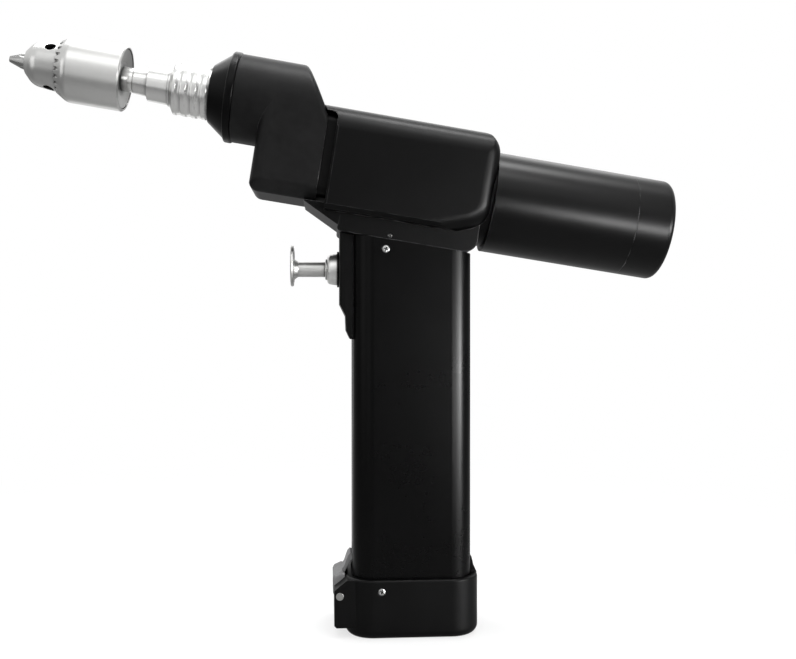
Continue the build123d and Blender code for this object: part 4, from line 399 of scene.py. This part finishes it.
def black_metal(name, finish, base, rough, shine, streaks=None, lines=None):
    """Anodised black: drifting tone, edges rubbed paler, and drawn streaks, tool lines or blasted grain."""
    made, tree, shader = fresh(name)
    edge = use(tree, edge_group(), Radius=0.5 * MM, Patches=180.0)
    tone = tinted(tree, base, scale=45.0, spread=0.35)
    tone = rubbed(tree, edge, 0.55, tone, finish.rubbed_edge)
    gloss = mottled(tree, 38.0, rough - 0.02, rough + 0.03)
    if streaks:
        height, depth = use(tree, drawn_group(), Squeeze=streaks, Scale=1400.0)["Value"], STREAK_DEPTH
    elif lines:
        height, depth = use(tree, lines_group(), Direction=lines, Scale=5200.0)["Value"], BLACK_LINE_DEPTH
    else:
        height, depth = use(tree, grain_group(), Scale=3600.0)["Height"], BLAST_DEPTH
    shader.inputs["Specular IOR Level"].default_value = shine
    coat(tree, shader, tone, gloss, bumped(tree, height, edge["Normal"], 0.5, depth))
    return made


def black_moulding(finish):
    """Black moulding: spark-eroded grain, dusty drift in tone, handled edges a touch glossier."""
    made, tree, shader = fresh("grained moulding")
    edge = use(tree, edge_group(), Radius=0.5 * MM, Patches=120.0)
    tone = tinted(tree, finish.black_moulding, scale=70.0, spread=0.3)
    tone = rubbed(tree, edge, 0.4, tone, HANDLED_EDGE)
    gloss = mottled(tree, 55.0, finish.moulding_gloss - 0.05, finish.moulding_gloss + 0.07)
    gloss = sums(tree, "SUBTRACT", gloss, sums(tree, "MULTIPLY", edge["Mask"], 0.1))
    height = use(tree, grain_group(), Scale=2600.0)["Height"]
    shader.inputs["Specular IOR Level"].default_value = finish.moulding_shine
    coat(tree, shader, tone, gloss, bumped(tree, height, edge["Normal"], 0.55, MOULD_DEPTH))
    return made


def turned_metal(name, base, rough, axis, line_scale=4200.0, spread=0.03, recess=3.0 * MM):
    """Bare turned metal: tool lines across the lathe's axis in tone, gloss and height, soft edges and
    painted shade in recesses."""
    made, tree, shader = fresh(name)
    edge = use(tree, edge_group(), Radius=0.25 * MM, Patches=260.0)
    lines = use(tree, lines_group(), Direction=tuple(axis), Scale=line_scale)["Value"]
    tone = tinted(tree, base, scale=40.0, spread=spread)
    scored = sums(tree, "MULTIPLY", ramp(tree, lines, *SCORE_LEVELS), 0.2)
    tone = blend_colours(tree, scored, tone, opaque([c * 0.80 for c in base]))
    # painted shade: darker where shapes close in, in recesses and between parts
    tone = shaded_in_recesses(tree, tone, recess)
    smear = mottled(tree, 45.0, rough - 0.02, rough + 0.03)
    gloss = sums(tree, "MULTIPLY_ADD", lines, 0.06, sums(tree, "SUBTRACT", smear, 0.03))
    shader.inputs["Metallic"].default_value = 1.0
    coat(tree, shader, tone, gloss, bumped(tree, lines, edge["Normal"], 0.4, BRIGHT_LINE_DEPTH))
    return made


def cut_metal(name, recess=1.0 * MM):
    """Cut metal: oiled tint in clouds, fine mill grain, bright edges and painted shade in recesses."""
    base, stain, rough = CUT_METALS[name]
    made, tree, shader = fresh(name)
    edge = use(tree, edge_group(), Radius=0.2 * MM, Patches=300.0)
    tone = blend_colours(tree, mottled(tree, 150.0), opaque(base), opaque(stain))
    tone = rubbed(tree, edge, 0.6, tone, [min(1.0, c * 1.5) for c in base])
    # painted shade: darker where shapes close in, in recesses and between parts
    tone = shaded_in_recesses(tree, tone, recess)
    gloss = mottled(tree, 210.0, rough - 0.07, rough + 0.09)
    height = use(tree, drawn_group(), Squeeze=(0.06, 1.0, 1.0), Scale=3000.0)["Value"]
    shader.inputs["Metallic"].default_value = 1.0
    coat(tree, shader, tone, gloss, bumped(tree, height, edge["Normal"], 0.5, CUT_DEPTH))
    return made


def lever_paint(finish):
    """Grey satin paint with a fine pebble and paler rubbed edges."""
    made, tree, shader = fresh("lever grey")
    edge = use(tree, edge_group(), Radius=0.4 * MM, Patches=300.0)
    tone = tinted(tree, finish.lever_paint, scale=160.0, spread=0.18)
    tone = rubbed(tree, edge, 0.5, tone, RUBBED_PAINT)
    gloss = mottled(tree, 140.0, 0.36, 0.5)
    height = use(tree, grain_group(), Scale=4200.0)["Height"]
    shader.inputs["Specular IOR Level"].default_value = finish.lever_shine
    coat(tree, shader, tone, gloss, bumped(tree, height, edge["Normal"], 0.5, PEBBLE_DEPTH))
    return made


def rubber():
    """Matt black rubber with a bloom in clouds."""
    made, tree, shader = fresh("seal rubber")
    edge = use(tree, edge_group(), Radius=0.3 * MM)
    tone = blend_colours(tree, mottled(tree, 200.0), opaque(RUBBER_BLACK), opaque(RUBBER_BLOOM))
    gloss = mottled(tree, 90.0, 0.62, 0.82)
    height = use(tree, grain_group(), Scale=3000.0)["Height"]
    coat(tree, shader, tone, gloss, bumped(tree, height, edge["Normal"], 0.4, PEBBLE_DEPTH))
    return made


def cell_sleeve(finish):
    """Battery cells: a shrink sleeve between bare steel ends, told apart by height in each layer."""
    made, tree, shader = fresh("cell sleeve")
    edge = use(tree, edge_group(), Radius=0.3 * MM)
    height = height_of(tree, object_place(tree))
    run = sums(tree, "MODULO", sums(tree, "SUBTRACT", height, CELL_FOOT), CELL_STEP)
    from_end = sums(tree, "MINIMUM", run, sums(tree, "SUBTRACT", CELL_STEP - CELL_GAP, run))
    sleeve = sums(tree, "GREATER_THAN", from_end, CELL_RIM)
    bare = tinted(tree, CELL_STEEL, scale=200.0, spread=0.12)
    wrapped = tinted(tree, finish.cell_sleeve, scale=120.0, spread=0.2)
    tone = blend_colours(tree, sleeve, bare, wrapped)
    gloss = mottled(tree, 180.0, 0.24, 0.38)
    ripple = use(tree, drawn_group(), Squeeze=(1.0, 1.0, 0.1), Scale=500.0)["Value"]
    tree.links.new(sums(tree, "SUBTRACT", 1.0, sleeve), shader.inputs["Metallic"])
    coat(tree, shader, tone, gloss, bumped(tree, ripple, edge["Normal"], 0.4, RIPPLE_DEPTH))
    return made


def board(finish):
    """Lacquered board with raised tracks below, dark component cases above its face."""
    made, tree, shader = fresh("board lacquer")
    edge = use(tree, edge_group(), Radius=0.2 * MM)
    place = object_place(tree)
    part = sums(tree, "GREATER_THAN", height_of(tree, place), BOARD_FACE)
    tracks = add(tree, "ShaderNodeTexBrick", {"Vector": place, "Scale": 160.0, "Mortar Size": 0.03})
    lacquer = tinted(tree, finish.board_lacquer, scale=120.0, spread=0.25)
    raised = sums(tree, "MULTIPLY", tracks.outputs["Fac"], 0.5)
    lacquer = blend_colours(tree, raised, lacquer, opaque(BOARD_TRACK))
    tone = blend_colours(tree, part, lacquer, tinted(tree, BOARD_CASE, scale=300.0, spread=0.3))
    coat(tree, shader, tone, mottled(tree, 160.0, 0.25, 0.42), edge["Normal"])
    return made


def dress(material, *nodes):
    """Give CAD nodes one material."""
    for name in nodes:
        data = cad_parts[name].data
        data.materials.clear()
        data.materials.append(material)


def skin(rows):
    """Closed skin over rows of points (rows, steps, 3): each row joins the next, the columns close round,
    and the first and last row are closed by a fan to their mean point. Gives points and triangles."""
    count, steps = rows.shape[:2]
    points = np.concatenate([rows.reshape(-1, 3), rows[0].mean(0)[None], rows[-1].mean(0)[None]])
    row, step = np.meshgrid(np.arange(count - 1), np.arange(steps), indexing="ij")
    beside = (step + 1) % steps
    a, b = row * steps + step, row * steps + beside
    c, d = a + steps, b + steps
    walls = [np.stack(corners, -1).reshape(-1, 3) for corners in ([a, c, d], [a, d, b])]
    around = np.arange(steps)
    after = (around + 1) % steps
    first, last = count * steps, count * steps + 1
    near = np.stack([np.full(steps, first), around, after], -1)
    end = (count - 1) * steps
    far = np.stack([np.full(steps, last), end + after, end + around], -1)
    return points, np.concatenate([*walls, near, far])


def object_of(name, skins, sharp=math.radians(32)):
    """One object out of several closed skins, smooth but for its sharp edges."""
    points, faces, start = [], [], 0
    for own, corners in skins:
        points.append(own)
        faces.append(corners + start)
        start += len(own)
    points, faces = np.concatenate(points), np.concatenate(faces)
    mesh = bpy.data.meshes.new(name)
    mesh.vertices.add(len(points))
    mesh.vertices.foreach_set("co", points.astype(np.float32).ravel())
    mesh.loops.add(faces.size)
    mesh.loops.foreach_set("vertex_index", faces.astype(np.int32).ravel())
    mesh.polygons.add(len(faces))
    mesh.polygons.foreach_set("loop_start", np.arange(0, faces.size, 3, dtype=np.int32))
    mesh.polygons.foreach_set("use_smooth", np.ones(len(faces), dtype=bool))
    mesh.update(calc_edges=True)
    mesh.validate()
    mesh.set_sharp_from_angle(angle=sharp)
    made = bpy.data.objects.new(name, mesh)
    bpy.context.scene.collection.objects.link(made)
    return made


def settle(piece, body, slot, material, *nodes):
    """Finish a new piece: it rides on a body, stands for CAD nodes and takes the given material; the slot is
    not used.
    """
    piece.data.materials.append(material)
    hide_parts(*nodes)
    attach(piece, body)


def cross_outline(angle, arm, half):
    """Radius of a cross with square arm ends: an arm's side or its end, whichever is nearer."""
    near = np.abs((angle + math.pi / 4) % (math.pi / 2) - math.pi / 4)
    side = half / np.maximum(np.sin(near), 1e-6)
    return np.minimum(arm / np.cos(near), side)


def hex_outline(angle, flat):
    """Radius of a hexagon whose flats lie at the given distance."""
    near = (angle + math.pi / 6) % (math.pi / 3) - math.pi / 6
    return flat / np.cos(near)


# Screws: head radius, head height, shank radius and reach in millimetres, and the recess
SCREWS = {
    "grip": (1.7, 1.2, 1.1, 7.0, "cross"),
    "set": (0.9, 1.2, 0.9, 9.35, "hex"),
    "cap": (1.65, 1.2, 1.1, 8.0, "cross"),
    "housing": (1.9, 1.4, 1.0, 8.1, "cross"),
}
LEFT, RIGHT, FRONT = (0, -1, 0), (0, 1, 0), (-1, 0, 0)
# New piece, its body, the CAD node it stands for, and its screws with their places in millimetres
SCREW_SETS = (
    ("grip_screw_set", "frame", "grip_screws", (
        ("grip", (-11.6, -18.0, 164.371), LEFT), ("grip", (-11.6, 18.0, 164.371), RIGHT),
        ("set", (-9.781, -17.45, 170.0), LEFT), ("set", (-9.781, 17.45, 170.0), RIGHT))),
    ("cap_screw_set", "battery", "cap_screws", (
        ("cap", (-13.5, -21.0, 20.15), LEFT), ("cap", (-13.5, 21.0, 20.15), RIGHT))),
    ("housing_screw_set", "frame", "housing_screws", (
        ("housing", (-31.1, 0.0, 168.2), FRONT), ("housing", (-31.1, 0.0, 145.5), FRONT))),
)
# Fine shape of a screw
CROSS_ARM, CROSS_HALF, HEX_FLAT = 0.56, 0.15, 0.48      # outline of the recess, in head radii
CROSS_DEPTH, HEX_DEPTH = 0.55, 0.6                      # depth of the recess, in head heights
DEEPEST = 1.1 * MM                                      # the hexagon's limit
CROSS_FLOOR, HEX_FLOOR, INNER = 0.45, 0.97, 0.3         # rows of the recess's floor, in outlines
LIP, LIP_IN, LIP_OUT = 0.05 * MM, 0.97, 1.03            # chamfer round the recess
DOME = 0.6                                              # share of the crown that lies inside the rim
RIM, RIM_FALL = 0.35 * MM, 0.6                          # rounding of the rim, and its fall in roundings
STATIONS = (0.35, 0.7, 1.0)                             # rows across the crown and round the rim
NECK, SET_NECK = 0.1 * MM, 0.5 * MM                     # plain shank before the thread
THREAD_ROWS = 7                                         # rows to one pitch
THREAD_END = 0.35 * MM
TIP, TIP_ROOT, TIP_END = 0.3 * MM, 0.96, 0.72           # chamfer at the end, in shank radii
UP_HINT, AHEAD = (0.3, 0.1, 0.95), (1.0, 0.0, 0.0)      # what a standing piece turns its first side from


def screw_rows(fasteners, head_r, head_h, shank_r, reach, recess):
    """Screw about +z with its head's middle at nought: the recess floor and wall follow a cross or a hexagon,
    the head is crowned with a rounded rim, and the shank's radius falls by a rounded thread that winds down
    it."""
    steps = fasteners.round_steps
    angle = np.arange(steps) * 2 * math.pi / steps
    one = np.ones(steps)
    crown = fasteners.crown
    if recess == "cross":
        mouth = cross_outline(angle, head_r * CROSS_ARM, head_r * CROSS_HALF)
        deep, floor = head_h * CROSS_DEPTH, CROSS_FLOOR
    else:
        mouth = hex_outline(angle, head_r * HEX_FLAT)
        deep, floor = min(head_h * HEX_DEPTH, DEEPEST), HEX_FLOOR
    lines = [(mouth * INNER * floor, -deep), (mouth * floor, -deep)]
    lines += [(mouth * LIP_IN, -LIP), (mouth * LIP_OUT, 0.0)]
    for part in STATIONS:
        ring = (mouth * LIP_OUT) * (1 - part) + one * (head_r - RIM) * part
        lines.append((ring, -crown * DOME * part ** 2))
    for turn in STATIONS:
        out = head_r - RIM + RIM * math.sin(turn * math.pi / 2)
        drop = (crown * (1 - DOME) + RIM * RIM_FALL) * (1 - math.cos(turn * math.pi / 2))
        lines.append((one * out, -crown * DOME - drop))
    if head_r > shank_r:
        lines.append((one * head_r, -head_h))
        lines.append((one * shank_r, -head_h))
        start = head_h + NECK
    else:
        start = crown + SET_NECK
    pitch, depth = fasteners.thread_pitch, fasteners.thread_depth
    run = reach - start - THREAD_END
    for z in np.linspace(0, run, max(2, int(run / pitch * THREAD_ROWS))):
        ease = min(1.0, z / pitch, (run - z) / pitch)
        wave = 0.5 - 0.5 * np.cos(2 * math.pi * z / pitch - angle)
        lines.append((shank_r - depth * ease * wave, -start - z))
    lines.append((one * shank_r * TIP_ROOT, -reach + TIP))
    lines.append((one * shank_r * TIP_END, -reach))
    radius = np.array([line[0] for line in lines])
    height = np.array([line[1] for line in lines])
    flat = np.stack([np.cos(angle) * radius, np.sin(angle) * radius], -1)
    return np.concatenate([flat, np.broadcast_to(height[:, None, None], (*radius.shape, 1))], -1)


def stand(rows, place, out):
    """Turn rows made about +z to stand at a place and look along out."""
    out = np.array(out) / np.linalg.norm(out)
    beside = np.cross(out, UP_HINT if abs(out[2]) < 0.9 else AHEAD)
    beside /= np.linalg.norm(beside)
    third = np.cross(out, beside)
    return np.array(place) + rows[..., :1] * beside + rows[..., 1:2] * third + rows[..., 2:] * out


class DrillHousings(bpy.types.Operator):
    """Black housings, tube, grip and their mouldings"""
    bl_idname = "drill.housings"
    bl_label = "Housings and grip"

    def execute(self, context):
        finish = context.scene.drill_finish
        black, along = finish.black_metal, tuple(ALONG)
        body = black_metal("satin body black", finish, black, finish.body_gloss, finish.body_shine)
        dress(body, "body_housing", "adapter_flange", "grip_top_block")
        head = black_metal(
            "blasted head black", finish, finish.head_black, finish.head_gloss, finish.head_shine)
        dress(head, "head_housing", "bearing_carrier")
        tube = black_metal("turned black", finish, black, finish.tube_gloss, finish.tube_shine, lines=along)
        dress(tube, "motor_tube", "tail_cap")
        nose = black_metal(
            "turned nose black", finish, black, finish.tube_gloss, finish.nose_shine, lines=along)
        dress(nose, "nose_cone")
        grip = black_metal(
            "drawn black", finish, black, finish.grip_gloss, finish.grip_shine, streaks=(1.0, 1.0, 0.015))
        dress(grip, "grip_tube")
        moulded = black_moulding(finish)
        dress(moulded, "trigger_housing", "battery_cap", "battery_case")
        dress(moulded, "switch_module", "contact_block", "motor_end_bell")
        dress(rubber(), "spindle_seal", "cushion_ring")
        return {"FINISHED"}


class DrillChuck(bpy.types.Operator):
    """Keyed chuck with its sleeve, jaws and nut"""
    bl_idname = "drill.chuck"
    bl_label = "Chuck"

    def execute(self, context):
        finish = context.scene.drill_finish
        ground = turned_metal(
            "ground chuck steel", finish.chuck_metal, rough=0.30, axis=ALONG, recess=4.0 * MM)
        dress(ground, "chuck_sleeve", "chuck_body", "chuck_nut")
        dress(cut_metal("hardened jaw steel"), "chuck_jaw_1", "chuck_jaw_2", "chuck_jaw_3")
        return {"FINISHED"}


class DrillCoupling(bpy.types.Operator):
    """Spindle nose, arbor and ribbed release collar"""
    bl_idname = "drill.coupling"
    bl_label = "Quick coupling"

    def execute(self, context):
        finish = context.scene.drill_finish
        bright = turned_metal(
            "bright turned steel", finish.bright_metal, rough=0.24, axis=ALONG,
            line_scale=3600.0, recess=3.5 * MM)
        dress(bright, "chuck_arbor", "spindle", "release_collar", "coupling_rings", "lock_balls")
        return {"FINISHED"}


class DrillTrigger(bpy.types.Operator):
    """Push trigger and its bush"""
    bl_idname = "drill.trigger"
    bl_label = "Trigger"

    def execute(self, context):
        finish = context.scene.drill_finish
        for node, name, base, rough in (
            ("trigger_button", "trigger steel", finish.trigger_metal, 0.42),
            ("trigger_bush", "bush steel", finish.bush_metal, 0.38),
        ):
            dress(turned_metal(name, base, rough, axis=INWARD, line_scale=3800.0), node)
        return {"FINISHED"}


class DrillDrive(bpy.types.Operator):
    """Gears, bearings and motor inside the housings"""
    bl_idname = "drill.drive"
    bl_label = "Drive"

    def execute(self, context):
        gear = cut_metal("oiled gear steel")
        dress(gear, "spindle_gear", "output_pinion", "planet_carrier", "planet_pins", "ring_gear")
        dress(gear, "planet_gear_1", "planet_gear_2", "planet_gear_3", "sun_pinion", "armature")
        ring = turned_metal("bearing steel", BEARING_STEEL, rough=0.22, axis=ALONG)
        dress(ring, "spindle_front_bearing", "spindle_rear_bearing", "pinion_bearing")
        dress(cut_metal("zinc plate"), "motor_can")
        bronze = turned_metal("sintered bronze", BRONZE, rough=0.4, axis=ALONG, spread=0.2)
        dress(bronze, "pinion_bush", "motor_bearings")
        return {"FINISHED"}


class DrillBattery(bpy.types.Operator):
    """Cells, contacts, board and latch"""
    bl_idname = "drill.battery"
    bl_label = "Battery and latch"

    def execute(self, context):
        finish = context.scene.drill_finish
        dress(cell_sleeve(finish), "battery_cells")
        dress(board(finish), "control_board")
        dress(cut_metal("contact brass"), "contact_clips", "battery_terminals")
        dress(lever_paint(finish), "latch_lever")
        dress(turned_metal("latch pin steel", PIN_STEEL, rough=0.30, axis=ACROSS), "latch_pin")
        return {"FINISHED"}


class DrillScrews(bpy.types.Operator):
    """Screws with drive recesses and threads"""
    bl_idname = "drill.screws"
    bl_label = "Screws"

    def execute(self, context):
        fasteners = context.scene.drill_fasteners
        steel = cut_metal("bright screw steel", recess=1.5 * MM)
        kinds = {}
        for kind, (*sizes, recess) in SCREWS.items():
            kinds[kind] = screw_rows(fasteners, *[size * MM for size in sizes], recess)
        for name, body, node, screws in SCREW_SETS:
            skins = [skin(stand(kinds[kind], np.array(place) * MM, out)) for kind, place, out in screws]
            settle(object_of(name, skins), body, "screw_steel", steel, node)
        dress(steel, "head_screws", "block_screws")
        return {"FINISHED"}


def measure(node, point, direction):
    """Lowest and highest place of a CAD node along a line, and its largest distance from that line."""
    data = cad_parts[node].data
    points = np.empty(len(data.vertices) * 3, np.float32)
    data.vertices.foreach_get("co", points)
    off = points.reshape(-1, 3) - np.array(point)
    run = off @ np.array(direction)
    away = np.linalg.norm(off - run[:, None] * np.array(direction), axis=1)
    return run.min(), run.max(), away.max()


# Fine shape of a spring
TURN_POINTS = 26        # points along one turn
WIRE_POINTS = 14        # points round the wire
CLOSE = 1.02            # rise of a closed turn, in wires
FLAT_TURNS = 0.75       # how much of an end turn stays closed
FADE_TURNS = 0.5        # how soon the rise is full after that


def spring_rows(low, high, outer, wire, turns):
    """Spring along +z: a round wire on a helix whose first and last turn lie almost flat, so that both ends
    are closed. The rise per turn follows a smooth step, and the wire's circle stands square to the helix."""
    radius = outer - wire / 2
    whole = turns + 2
    t = np.linspace(0, whole, TURN_POINTS * whole + 1)
    closed = wire * CLOSE
    open_rise = (high - low - wire - 2 * closed) / turns
    fade = np.clip(np.minimum(t, whole - t) - FLAT_TURNS, 0, FADE_TURNS) / FADE_TURNS
    rise = closed + (open_rise - closed) * fade * fade * (3 - 2 * fade)
    climb = np.concatenate([[0], np.cumsum((rise[1:] + rise[:-1]) / 2 * np.diff(t))])
    climb *= (high - low - wire) / climb[-1]
    angle = 2 * math.pi * t
    middle = np.stack([radius * np.cos(angle), radius * np.sin(angle), low + wire / 2 + climb], -1)
    heading = np.gradient(middle, axis=0)
    heading /= np.linalg.norm(heading, axis=1)[:, None]
    out = np.stack([np.cos(angle), np.sin(angle), np.zeros_like(angle)], -1)
    third = np.cross(out, heading)
    around = (np.arange(WIRE_POINTS) * 2 * math.pi / WIRE_POINTS)[None, :, None]
    return middle[:, None] + wire / 2 * (np.cos(around) * out[:, None] + np.sin(around) * third[:, None])


class DrillSprings(bpy.types.Operator):
    """Coupling, trigger and latch springs with closed ends"""
    bl_idname = "drill.springs"
    bl_label = "Springs"

    def execute(self, context):
        fasteners = context.scene.drill_fasteners
        wire = cut_metal("drawn spring wire")
        # New piece, CAD node, body, joint that presses it, its axis, wire, open turns
        springs = (
            ("collar_coil", "collar_spring", "release_collar", "collar_slide",
             SPINDLE_POINT, ALONG, fasteners.collar_wire, 4),
            ("trigger_coil", "trigger_spring", "trigger", "trigger_press",
             TRIGGER_POINT, INWARD, fasteners.trigger_wire, 5),
            ("latch_coil", "latch_spring", "battery", None,
             LATCH_POINT, ACROSS, fasteners.latch_wire, 3),
        )
        for name, node, body, joint, point, direction, thick, turns in springs:
            low, high, outer = measure(node, point, direction)
            rows = spring_rows(low, high, outer, thick, turns)
            made = object_of(name, [skin(stand(rows, point, direction))], math.radians(60))
            settle(made, body, "spring_steel", wire, node)
            if joint:
                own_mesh(made)
        return {"FINISHED"}


CAMERA_PLACE = (-0.035414, -0.416798, 0.132015)
CAMERA_YAW = math.radians(-4.146)
CAMERA_PITCH = math.radians(-0.236)
SENSOR_WIDTH = 36.0
CLIP_START = 0.01

FLOOR_LEVEL = -0.05 * MM
FLOOR_LINES = 9
# The floor's levels change over these distances from the drill's foot, in metres
SHADE_RADII = (0.5, 0.12)       # no shade of the drill, all of it
NEAR_RADII = (0.5, 0.15)        # the horizon's level, the near floor's
BACK_DEPTHS = (0.12, 0.40)      # behind the drill: the back floor's level sets in, is reached
BACK_RADII = (1.1, 0.6)         # beyond it, within it
ROOM_RISE = (0.0, 0.5)          # height of a direction: the horizon's level, the sky's

# Lamps: name, place, aim, size across and along, brightness, spread in degrees
LAMPS = (
    ("key softbox", (0.02, -0.75, 0.85), (0.0, 0.0, 0.2), (1.0, 0.50), 1.2, 180.0),
    ("top softbox front", (0.16, -0.32, 0.88), (0.02, 0.0, 0.2), (0.22, 0.40), 18.0, 26.0),
    ("top softbox back", (0.16, 0.02, 0.88), (0.02, 0.0, 0.2), (0.22, 0.40), 35.0, 26.0),
    ("nose softbox", (-0.25, 0.15, 0.85), (-0.12, 0.0, 0.2), (0.35, 0.60), 3.2, 180.0),
    ("chuck softbox", (-0.215, -0.36, 0.20), (-0.13, 0.0, 0.22), (0.15, 0.32), 0.7, 180.0),
    ("left softbox", (-0.70, -0.40, 0.28), (-0.15, 0.0, 0.24), (0.40, 0.50), 0.9, 180.0),
    ("right softbox", (0.79, -0.563, 0.05), (0.015, 0.0, 0.06), (0.32, 0.24), 150.0, 24.0),
    ("right softbox front", (0.59, -0.765, 0.05), (0.015, 0.0, 0.06), (0.32, 0.24), 68.0, 24.0),
    ("tube strip", (0.26, -0.60, 0.070), (0.105, 0.0, 0.165), (0.13, 0.13), 76.0, 26.0),
    ("back key softbox", (0.02, 0.75, 0.85), (0.0, 0.0, 0.2), (1.0, 0.50), 1.6, 180.0),
    ("back chuck softbox", (-0.215, 0.36, 0.20), (-0.13, 0.0, 0.22), (0.15, 0.32), 0.7, 180.0),
)


def pale_floor(stage):
    """White to the eye but shaded under the drill; gloss sees it dim, and paler behind the drill."""
    made = bpy.data.materials.new("pale floor")
    made.use_nodes = True
    made.cycles.emission_sampling = "NONE"
    tree = made.node_tree
    tree.nodes.clear()
    speck = mottled(tree, 3.0, 0.80, 0.84)
    grey = add(tree, "ShaderNodeCombineColor", {0: speck, 1: speck, 2: speck}).outputs[0]
    matt = add(tree, "ShaderNodeBsdfDiffuse", {"Color": grey}).outputs[0]
    path = add(tree, "ShaderNodeLightPath").outputs
    seen = sums(tree, "MAXIMUM", path["Is Camera Ray"], path["Is Glossy Ray"])
    seen = sums(tree, "MAXIMUM", seen, path["Is Transmission Ray"])
    place = object_place(tree)
    far = add(tree, "ShaderNodeVectorMath", {0: place}, operation="LENGTH").outputs["Value"]
    own = sums(tree, "MULTIPLY", ramp(tree, far, *SHADE_RADII, smooth=True), stage.shadow)
    part = sums(tree, "MULTIPLY", seen, sums(tree, "SUBTRACT", 1.0, own))
    lit = ramp(tree, far, *NEAR_RADII, stage.horizon, stage.floor_gloss)
    side = add(tree, "ShaderNodeSeparateXYZ", {0: place}).outputs["Y"]
    behind = ramp(tree, side, *BACK_DEPTHS, smooth=True)
    lifted = sums(tree, "MULTIPLY", behind, ramp(tree, far, *BACK_RADII, smooth=True))
    shown = sums(tree, "MULTIPLY_ADD", lifted, sums(tree, "SUBTRACT", stage.back_floor, lit), lit)
    strength = sums(tree, "MAXIMUM", shown, path["Is Camera Ray"])
    white = add(tree, "ShaderNodeEmission", {"Color": opaque(WHITE), "Strength": strength}).outputs[0]
    mixed = add(tree, "ShaderNodeMixShader", {0: part, 1: matt, 2: white}).outputs[0]
    add(tree, "ShaderNodeOutputMaterial", {"Surface": mixed})
    return made


class DrillStudio(bpy.types.Operator):
    """Pale floor, soft lamps, room and camera"""
    bl_idname = "drill.studio"
    bl_label = "Studio"

    def floor(self, stage):
        """Flat floor as a coarse grid."""
        line = np.linspace(-stage.floor_half, stage.floor_half, FLOOR_LINES)
        x, y = np.meshgrid(line, line, indexing="ij")
        points = np.stack([x, y, np.full_like(x, FLOOR_LEVEL)], -1).reshape(-1, 3)
        count = np.arange(FLOOR_LINES - 1)
        i, j = np.meshgrid(count, count, indexing="ij")
        a = i * FLOOR_LINES + j
        b = a + FLOOR_LINES
        faces = np.stack([a, b, b + 1, a + 1], -1).reshape(-1, 4)
        mesh = bpy.data.meshes.new("floor")
        mesh.from_pydata(points.tolist(), [], faces.tolist())
        mesh.materials.append(pale_floor(stage))
        made = bpy.data.objects.new("floor", mesh)
        bpy.context.scene.collection.objects.link(made)

    def room(self, stage):
        """White to the camera; gloss sees a room that is pale above and dim at eye height."""
        world = bpy.data.worlds.new("studio room")
        bpy.context.scene.world = world
        world.use_nodes = True
        tree = world.node_tree
        tree.nodes.clear()
        way = add(tree, "ShaderNodeTexCoord").outputs["Generated"]
        above = ramp(tree, height_of(tree, way), *ROOM_RISE, smooth=True)
        level = ramp(tree, above, 0.0, 1.0, stage.horizon, stage.sky)
        path = add(tree, "ShaderNodeLightPath").outputs
        clear = sums(tree, "MAXIMUM", path["Is Camera Ray"], path["Is Transmission Ray"])
        strength = sums(tree, "MAXIMUM", level, clear)
        shown = add(tree, "ShaderNodeBackground", {"Color": opaque(WHITE), "Strength": strength}).outputs[0]
        add(tree, "ShaderNodeOutputWorld", {"Surface": shown})

    def lamp(self, name, place, aim, size, level, spread):
        """Rectangular soft lamp that looks at a point; its power comes from its area and its brightness,
        and a grid before it keeps its light within the spread, in degrees."""
        data = bpy.data.lights.new(name, "AREA")
        data.shape = "RECTANGLE"
        data.size, data.size_y = size
        data.spread = math.radians(spread)
        half = data.spread / 2
        gain = math.tan(half) / (math.tan(half) - half)
        data.energy = level * math.pi * size[0] * size[1] / gain
        made = bpy.data.objects.new(name, data)
        made.location = place
        made.rotation_euler = (Vector(aim) - Vector(place)).to_track_quat("-Z", "Y").to_euler()
        made.visible_camera = False
        bpy.context.scene.collection.objects.link(made)

    def camera(self, stage):
        """Camera that stands where the photo was taken from."""
        data = bpy.data.cameras.new("camera")
        data.sensor_width = SENSOR_WIDTH
        data.sensor_fit = "HORIZONTAL"
        data.lens = stage.lens
        data.clip_start = CLIP_START
        made = bpy.data.objects.new("camera", data)
        made.location = CAMERA_PLACE
        made.rotation_euler = (math.pi / 2 + CAMERA_PITCH, 0.0, CAMERA_YAW)
        bpy.context.scene.collection.objects.link(made)
        bpy.context.scene.camera = made

    def execute(self, context):
        stage = context.scene.drill_stage
        self.floor(stage)
        self.room(stage)
        for name, place, aim, size, level, spread in LAMPS:
            self.lamp(name, place, aim, size, level * stage.lamp_level, spread)
        self.camera(stage)
        context.scene.view_settings.view_transform = "Standard"
        return {"FINISHED"}


class DrillPanel(bpy.types.Panel):
    """Lists the drill's steps and values"""
    bl_idname = "VIEW3D_PT_drill"
    bl_label = "Bone drill"
    bl_space_type = "VIEW_3D"
    bl_region_type = "UI"
    bl_category = "Drill"

    def draw(self, context):
        layout = self.layout
        for group_name in SCENE_VALUES:
            values = getattr(context.scene, group_name)
            box = layout.box()
            for name in values.bl_rna.properties.keys():
                if name not in {"rna_type", "name"}:
                    box.prop(values, name)
        for step in STEPS:
            layout.operator(step.bl_idname)


SCENE_VALUES = {"drill_finish": DrillFinish, "drill_fasteners": DrillFasteners, "drill_stage": DrillStage}
STEPS = (
    DrillHousings, DrillChuck, DrillCoupling, DrillTrigger, DrillDrive, DrillBattery,
    DrillScrews, DrillSprings, DrillStudio,
)
CLASSES = (*SCENE_VALUES.values(), *STEPS, DrillPanel)


def register():
    """Register the classes and hang their values on the scene."""
    for made in CLASSES:
        bpy.utils.register_class(made)
    for name, kind in SCENE_VALUES.items():
        setattr(bpy.types.Scene, name, PointerProperty(type=kind))


def unregister():
    """Take the values and classes away again."""
    for name in SCENE_VALUES:
        delattr(bpy.types.Scene, name)
    for made in reversed(CLASSES):
        bpy.utils.unregister_class(made)


def main():
    """Run every step in order."""
    register()
    for step in STEPS:
        area, name = step.bl_idname.split(".")
        getattr(getattr(bpy.ops, area), name)()


if __name__ == "__main__":
    main()
